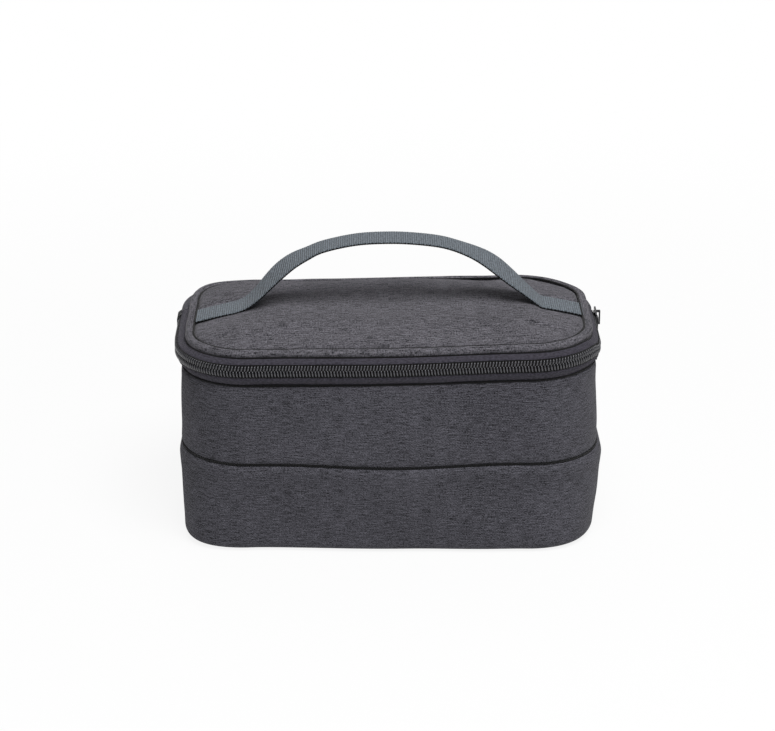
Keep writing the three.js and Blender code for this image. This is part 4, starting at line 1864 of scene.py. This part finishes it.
    def rolled_edge(self, cloths: Wardrobe) -> None:
        """Makes and dresses the fabric roll round the lid and the dark cords on both its sides, which are
        painted shade for the creases at its seams.

        Args:
            cloths: The finishes.
        """
        roll = cord_mesh(
            self.plan, "lid_rolled_edge", self.step, self.rim_offset, self.rim, self.rim_radius,
            self.roll_sides, self.roll_rough,
        )
        dress(roll, cloths.lid, Slot.LID, Body.LID, "lid_piping")
        (inner, inner_lift), (outer, outer_lift) = self.inner_shade_cord, self.outer_shade_cord
        shade_cords = {
            "lid_inner_shade_cord": (inner, self.over_strap(self.rim + inner_lift)),
            "lid_outer_shade_cord": (outer, self.rim + outer_lift),
        }
        for name, (aside, height) in shade_cords.items():
            cord = cord_mesh(self.plan, name, self.step, self.rim_offset + aside, height, self.seam_and_shade_cord)
            dress(cord, cloths.cord, Slot.BINDING, Body.LID)

    def edge_binding(self, cloths: Wardrobe) -> None:
        """Makes and dresses the tape that covers the raw edges inside the lid.

        Args:
            cloths: The finishes.
        """
        low, high = box_mm("lid_binding")
        offset, tilt = high[0] - self.plan.width / 2 - self.layer_gap, self.binding_tilt
        bends = [(offset - tilt, low[2] + tilt), (offset, (low[2] + high[2]) / 2), (offset, high[2])]
        line = smoothed(bends, self.binding_step, self.binding_passes)
        walk = self.plan.walk_steps(self.step * 2)
        tape = strip_mesh(self.plan, "lid_edge_binding", line, self.binding, walk, True, self.binding_rough)
        dress(tape, cloths.binding, Slot.BINDING, Body.LID, "lid_binding")

    def build(self, cloths: Wardrobe) -> None:
        """Makes and dresses every piece of the lid.

        Args:
            cloths: The finishes.
        """
        plan = self.plan
        edge = self.rim_offset - self.rim_radius - self.layer_gap + self.cover_lap
        pad = dress(self.padded_cover(edge), cloths.lid, Slot.LID, Body.LID, "lid_cover")
        inner, below = edge - self.lining_inset, self.cover + self.layer_gap
        upper = self.under(below + self.foam_drop, self.set_back)
        lower = self.under(below + self.foam, self.set_back)
        core = disc_mesh(plan, "lid_padding", inner - self.set_back, self.rim, upper, lower)
        dress(core, cloths.foam, Slot.FOAM, Body.LID, "lid_foam")
        depth = below + self.foam + self.layer_gap
        lower = self.under(depth + self.lining, crumple=self.crumple)
        film = disc_mesh(plan, "lid_lining", inner, self.rim, self.under(depth), lower)
        dress(film, cloths.foil, Slot.FOIL, Body.LID, "lid_liner")
        self.rolled_edge(cloths)
        self.edge_binding(cloths)


@dataclass(frozen=True)
class ZipSlider:
    """The slider and its pull tab, with softened edges; bevel and weld in millimetres, angles in radians."""

    bevel: float = 0.25
    segments: int = 3
    sharp: float = 0.5
    flat: float = 0.02
    weld: float = 0.001

    def softened(self, name: str, node: str) -> Object:
        """A copy of a CAD node with rounded edges.

        Args:
            name: Name of the new object.
            node: The CAD node.

        Returns:
            The object.
        """
        shape = bmesh.new()
        shape.from_mesh(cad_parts[node].data)
        bmesh.ops.remove_doubles(shape, verts=shape.verts, dist=self.weld * MM)
        bmesh.ops.dissolve_limit(shape, angle_limit=self.flat, verts=shape.verts, edges=shape.edges)
        edges = [edge for edge in shape.edges if edge.calc_face_angle(0.0) > self.sharp]
        bmesh.ops.bevel(
            shape, geom=edges, offset=self.bevel * MM, segments=self.segments, profile=0.5, affect="EDGES",
            clamp_overlap=True,
        )
        bmesh.ops.triangulate(shape, faces=[face for face in shape.faces if len(face.verts) > 4])
        mesh = bpy.data.meshes.new(name)
        shape.to_mesh(mesh)
        shape.free()
        mesh.uv_layers.new(name=WEAVE_UV)
        return finish_mesh(name, mesh)

    def build(self, cloths: Wardrobe) -> None:
        """Makes and dresses both pieces."""
        dress(self.softened("slider_body", "zip_slider"), cloths.metal, Slot.METAL, Body.SLIDER, "zip_slider")
        dress(self.softened("pull_tab", "zip_pull"), cloths.metal, Slot.METAL, Body.PULL, "zip_pull")


@dataclass(frozen=True)
class Lamp:
    """A soft square lamp that faces the bag, in metres and watts."""

    name: str
    place: tuple[float, float, float]
    size: float
    power: float
    aim: tuple[float, float, float] = (0.0, 0.0, 0.08)

    def hang(self) -> None:
        """Puts the lamp in the scene."""
        data = bpy.data.lights.new(self.name, "AREA")
        data.shape = "SQUARE"
        data.size = self.size
        data.energy = self.power
        obj = bpy.data.objects.new(self.name, data)
        obj.location = self.place
        obj.rotation_euler = (Vector(self.aim) - Vector(self.place)).to_track_quat("-Z", "Y").to_euler()
        bpy.context.scene.collection.objects.link(obj)


@dataclass(frozen=True)
class Studio:
    """Pale floor, soft lights and the camera at the photograph's viewing angle.

    The camera's distance and target are in millimetres, the floor and the reach of its glow in metres.
    """

    distance: float = 1441.4
    target: tuple[float, float, float] = (-0.583, 0.0, 85.84)
    azimuth: float = -0.494
    elevation: float = 20.63
    focal_px: float = 2533.7
    image_width_px: int = 775
    sensor: float = 36.0
    view_end: float = 60.0
    floor_size: float = 12.0
    floor_drop: float = 0.0003
    floor_colour: float = 0.82
    near_glow: float = 0.88
    near: float = 0.2
    far: float = 0.9
    sky: float = 0.2
    lamps: tuple[Lamp, ...] = (
        Lamp("key_lamp", (0.35, -0.75, 1.8), 1.3, 41.0),
        Lamp("rear_lamp", (-0.2, 1.3, 1.1), 1.3, 4.5),
    )

    def camera(self) -> None:
        """Places the camera."""
        around, up = math.radians(self.azimuth), math.radians(self.elevation)
        back = Vector((math.sin(around) * math.cos(up), -math.cos(around) * math.cos(up), math.sin(up)))
        place = (Vector(self.target) + back * self.distance) * MM
        side = (-back).cross(Vector((0, 0, 1))).normalized()
        data = bpy.data.cameras.new("camera")
        data.sensor_fit = "HORIZONTAL"
        data.sensor_width = self.sensor
        data.lens = self.focal_px / self.image_width_px * self.sensor
        data.clip_end = self.view_end
        obj = bpy.data.objects.new("camera", data)
        turn = Matrix((side, side.cross(-back), back)).transposed()
        obj.matrix_world = Matrix.Translation(place) @ turn.to_4x4()
        bpy.context.scene.collection.objects.link(obj)
        bpy.context.scene.camera = obj

    def floor(self) -> None:
        """Lays a white floor that shows a faint shadow."""
        half, level = self.floor_size / 2, -self.floor_drop
        corners = [(-half, -half, level), (half, -half, level), (half, half, level), (-half, half, level)]
        mesh = bpy.data.meshes.new("floor")
        mesh.from_pydata(corners, [], [(0, 1, 2, 3)])
        tree = Tree("white_floor")
        paint = tree.feed(tree.node("ShaderNodeBsdfDiffuse"), Color=(self.floor_colour,) * 3 + (1.0,))
        glow = tree.feed(tree.node("ShaderNodeEmission"), Color=(1.0, 1.0, 1.0, 1.0), Strength=1.0)
        ray = tree.node("ShaderNodeLightPath").outputs
        away = tree.node("ShaderNodeVectorMath", operation="LENGTH")
        tree.links.new(tree.node("ShaderNodeTexCoord").outputs["Object"], away.inputs[0])
        share = tree.feed(
            tree.node("ShaderNodeMapRange", interpolation_type="SMOOTHSTEP"), Value=away.outputs["Value"],
            From_Min=self.near, From_Max=self.far, To_Min=self.near_glow, To_Max=1.0,
        )
        seen = tree.maths("MAXIMUM", ray["Is Camera Ray"], ray["Is Glossy Ray"])
        mix = tree.feed(
            tree.node("ShaderNodeMixShader"), Fac=tree.maths("MULTIPLY", seen, share.outputs["Result"])
        )
        tree.links.new(paint.outputs[0], mix.inputs[1])
        tree.links.new(glow.outputs[0], mix.inputs[2])
        mesh.materials.append(tree.end(mix))
        obj = bpy.data.objects.new("floor", mesh)
        bpy.context.scene.collection.objects.link(obj)

    def light(self) -> None:
        """Sets the sky, which the camera sees as white, and the lamps."""
        world = bpy.data.worlds.new("studio")
        world.use_nodes = True
        nodes, links = world.node_tree.nodes, world.node_tree.links
        sky, white = nodes["Background"], nodes.new("ShaderNodeBackground")
        for shader, strength in ((sky, self.sky), (white, 1.0)):
            shader.inputs["Color"].default_value = (1.0, 1.0, 1.0, 1.0)
            shader.inputs["Strength"].default_value = strength
        mix, ray = nodes.new("ShaderNodeMixShader"), nodes.new("ShaderNodeLightPath")
        links.new(ray.outputs["Is Camera Ray"], mix.inputs[0])
        links.new(sky.outputs[0], mix.inputs[1])
        links.new(white.outputs[0], mix.inputs[2])
        links.new(mix.outputs[0], nodes["World Output"].inputs["Surface"])
        bpy.context.scene.world = world
        for lamp in self.lamps:
            lamp.hang()

    def build(self) -> None:
        """Sets up floor, lights, camera and view."""
        self.floor()
        self.light()
        self.camera()
        bpy.context.scene.view_settings.view_transform = "Standard"


def main() -> None:
    """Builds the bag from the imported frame's sizes and stages it."""
    logging.basicConfig(level=logging.INFO, format="%(name)s: %(message)s")
    rim_low, rim_high = box_mm("lid_piping")
    wall_low, wall_high = box_mm("upper_wall_cover")
    crown = box_mm("lid_cover")[1][2]
    middle = (box_mm("zip_coil_lower")[0][2] + box_mm("zip_coil_upper")[1][2]) / 2
    rim, radius = (rim_low[2] + rim_high[2]) / 2, (rim_high[2] - rim_low[2]) / 2
    plan = Plan(
        width=2 * (rim_high[0] + ROLL_INSET),
        depth=2 * (rim_high[1] + ROLL_INSET),
        bow_rim=-rim_low[1] - rim_high[1],
        wall_top=wall_high[2],
    )
    cloths = Wardrobe()
    handle = WebbingHandle()
    BagShell(plan, seam_and_shade_cord=wall_low[2] - SEAM_DROP).build(cloths)
    CoilZip(plan, middle, rim).build(cloths)
    PaddedLid(plan, rim, radius, crown, handle).build(cloths)
    handle.build(cloths, STRAP_LEVEL)
    ZipSlider().build(cloths)
    Studio().build()


if __name__ == "__main__":
    main()
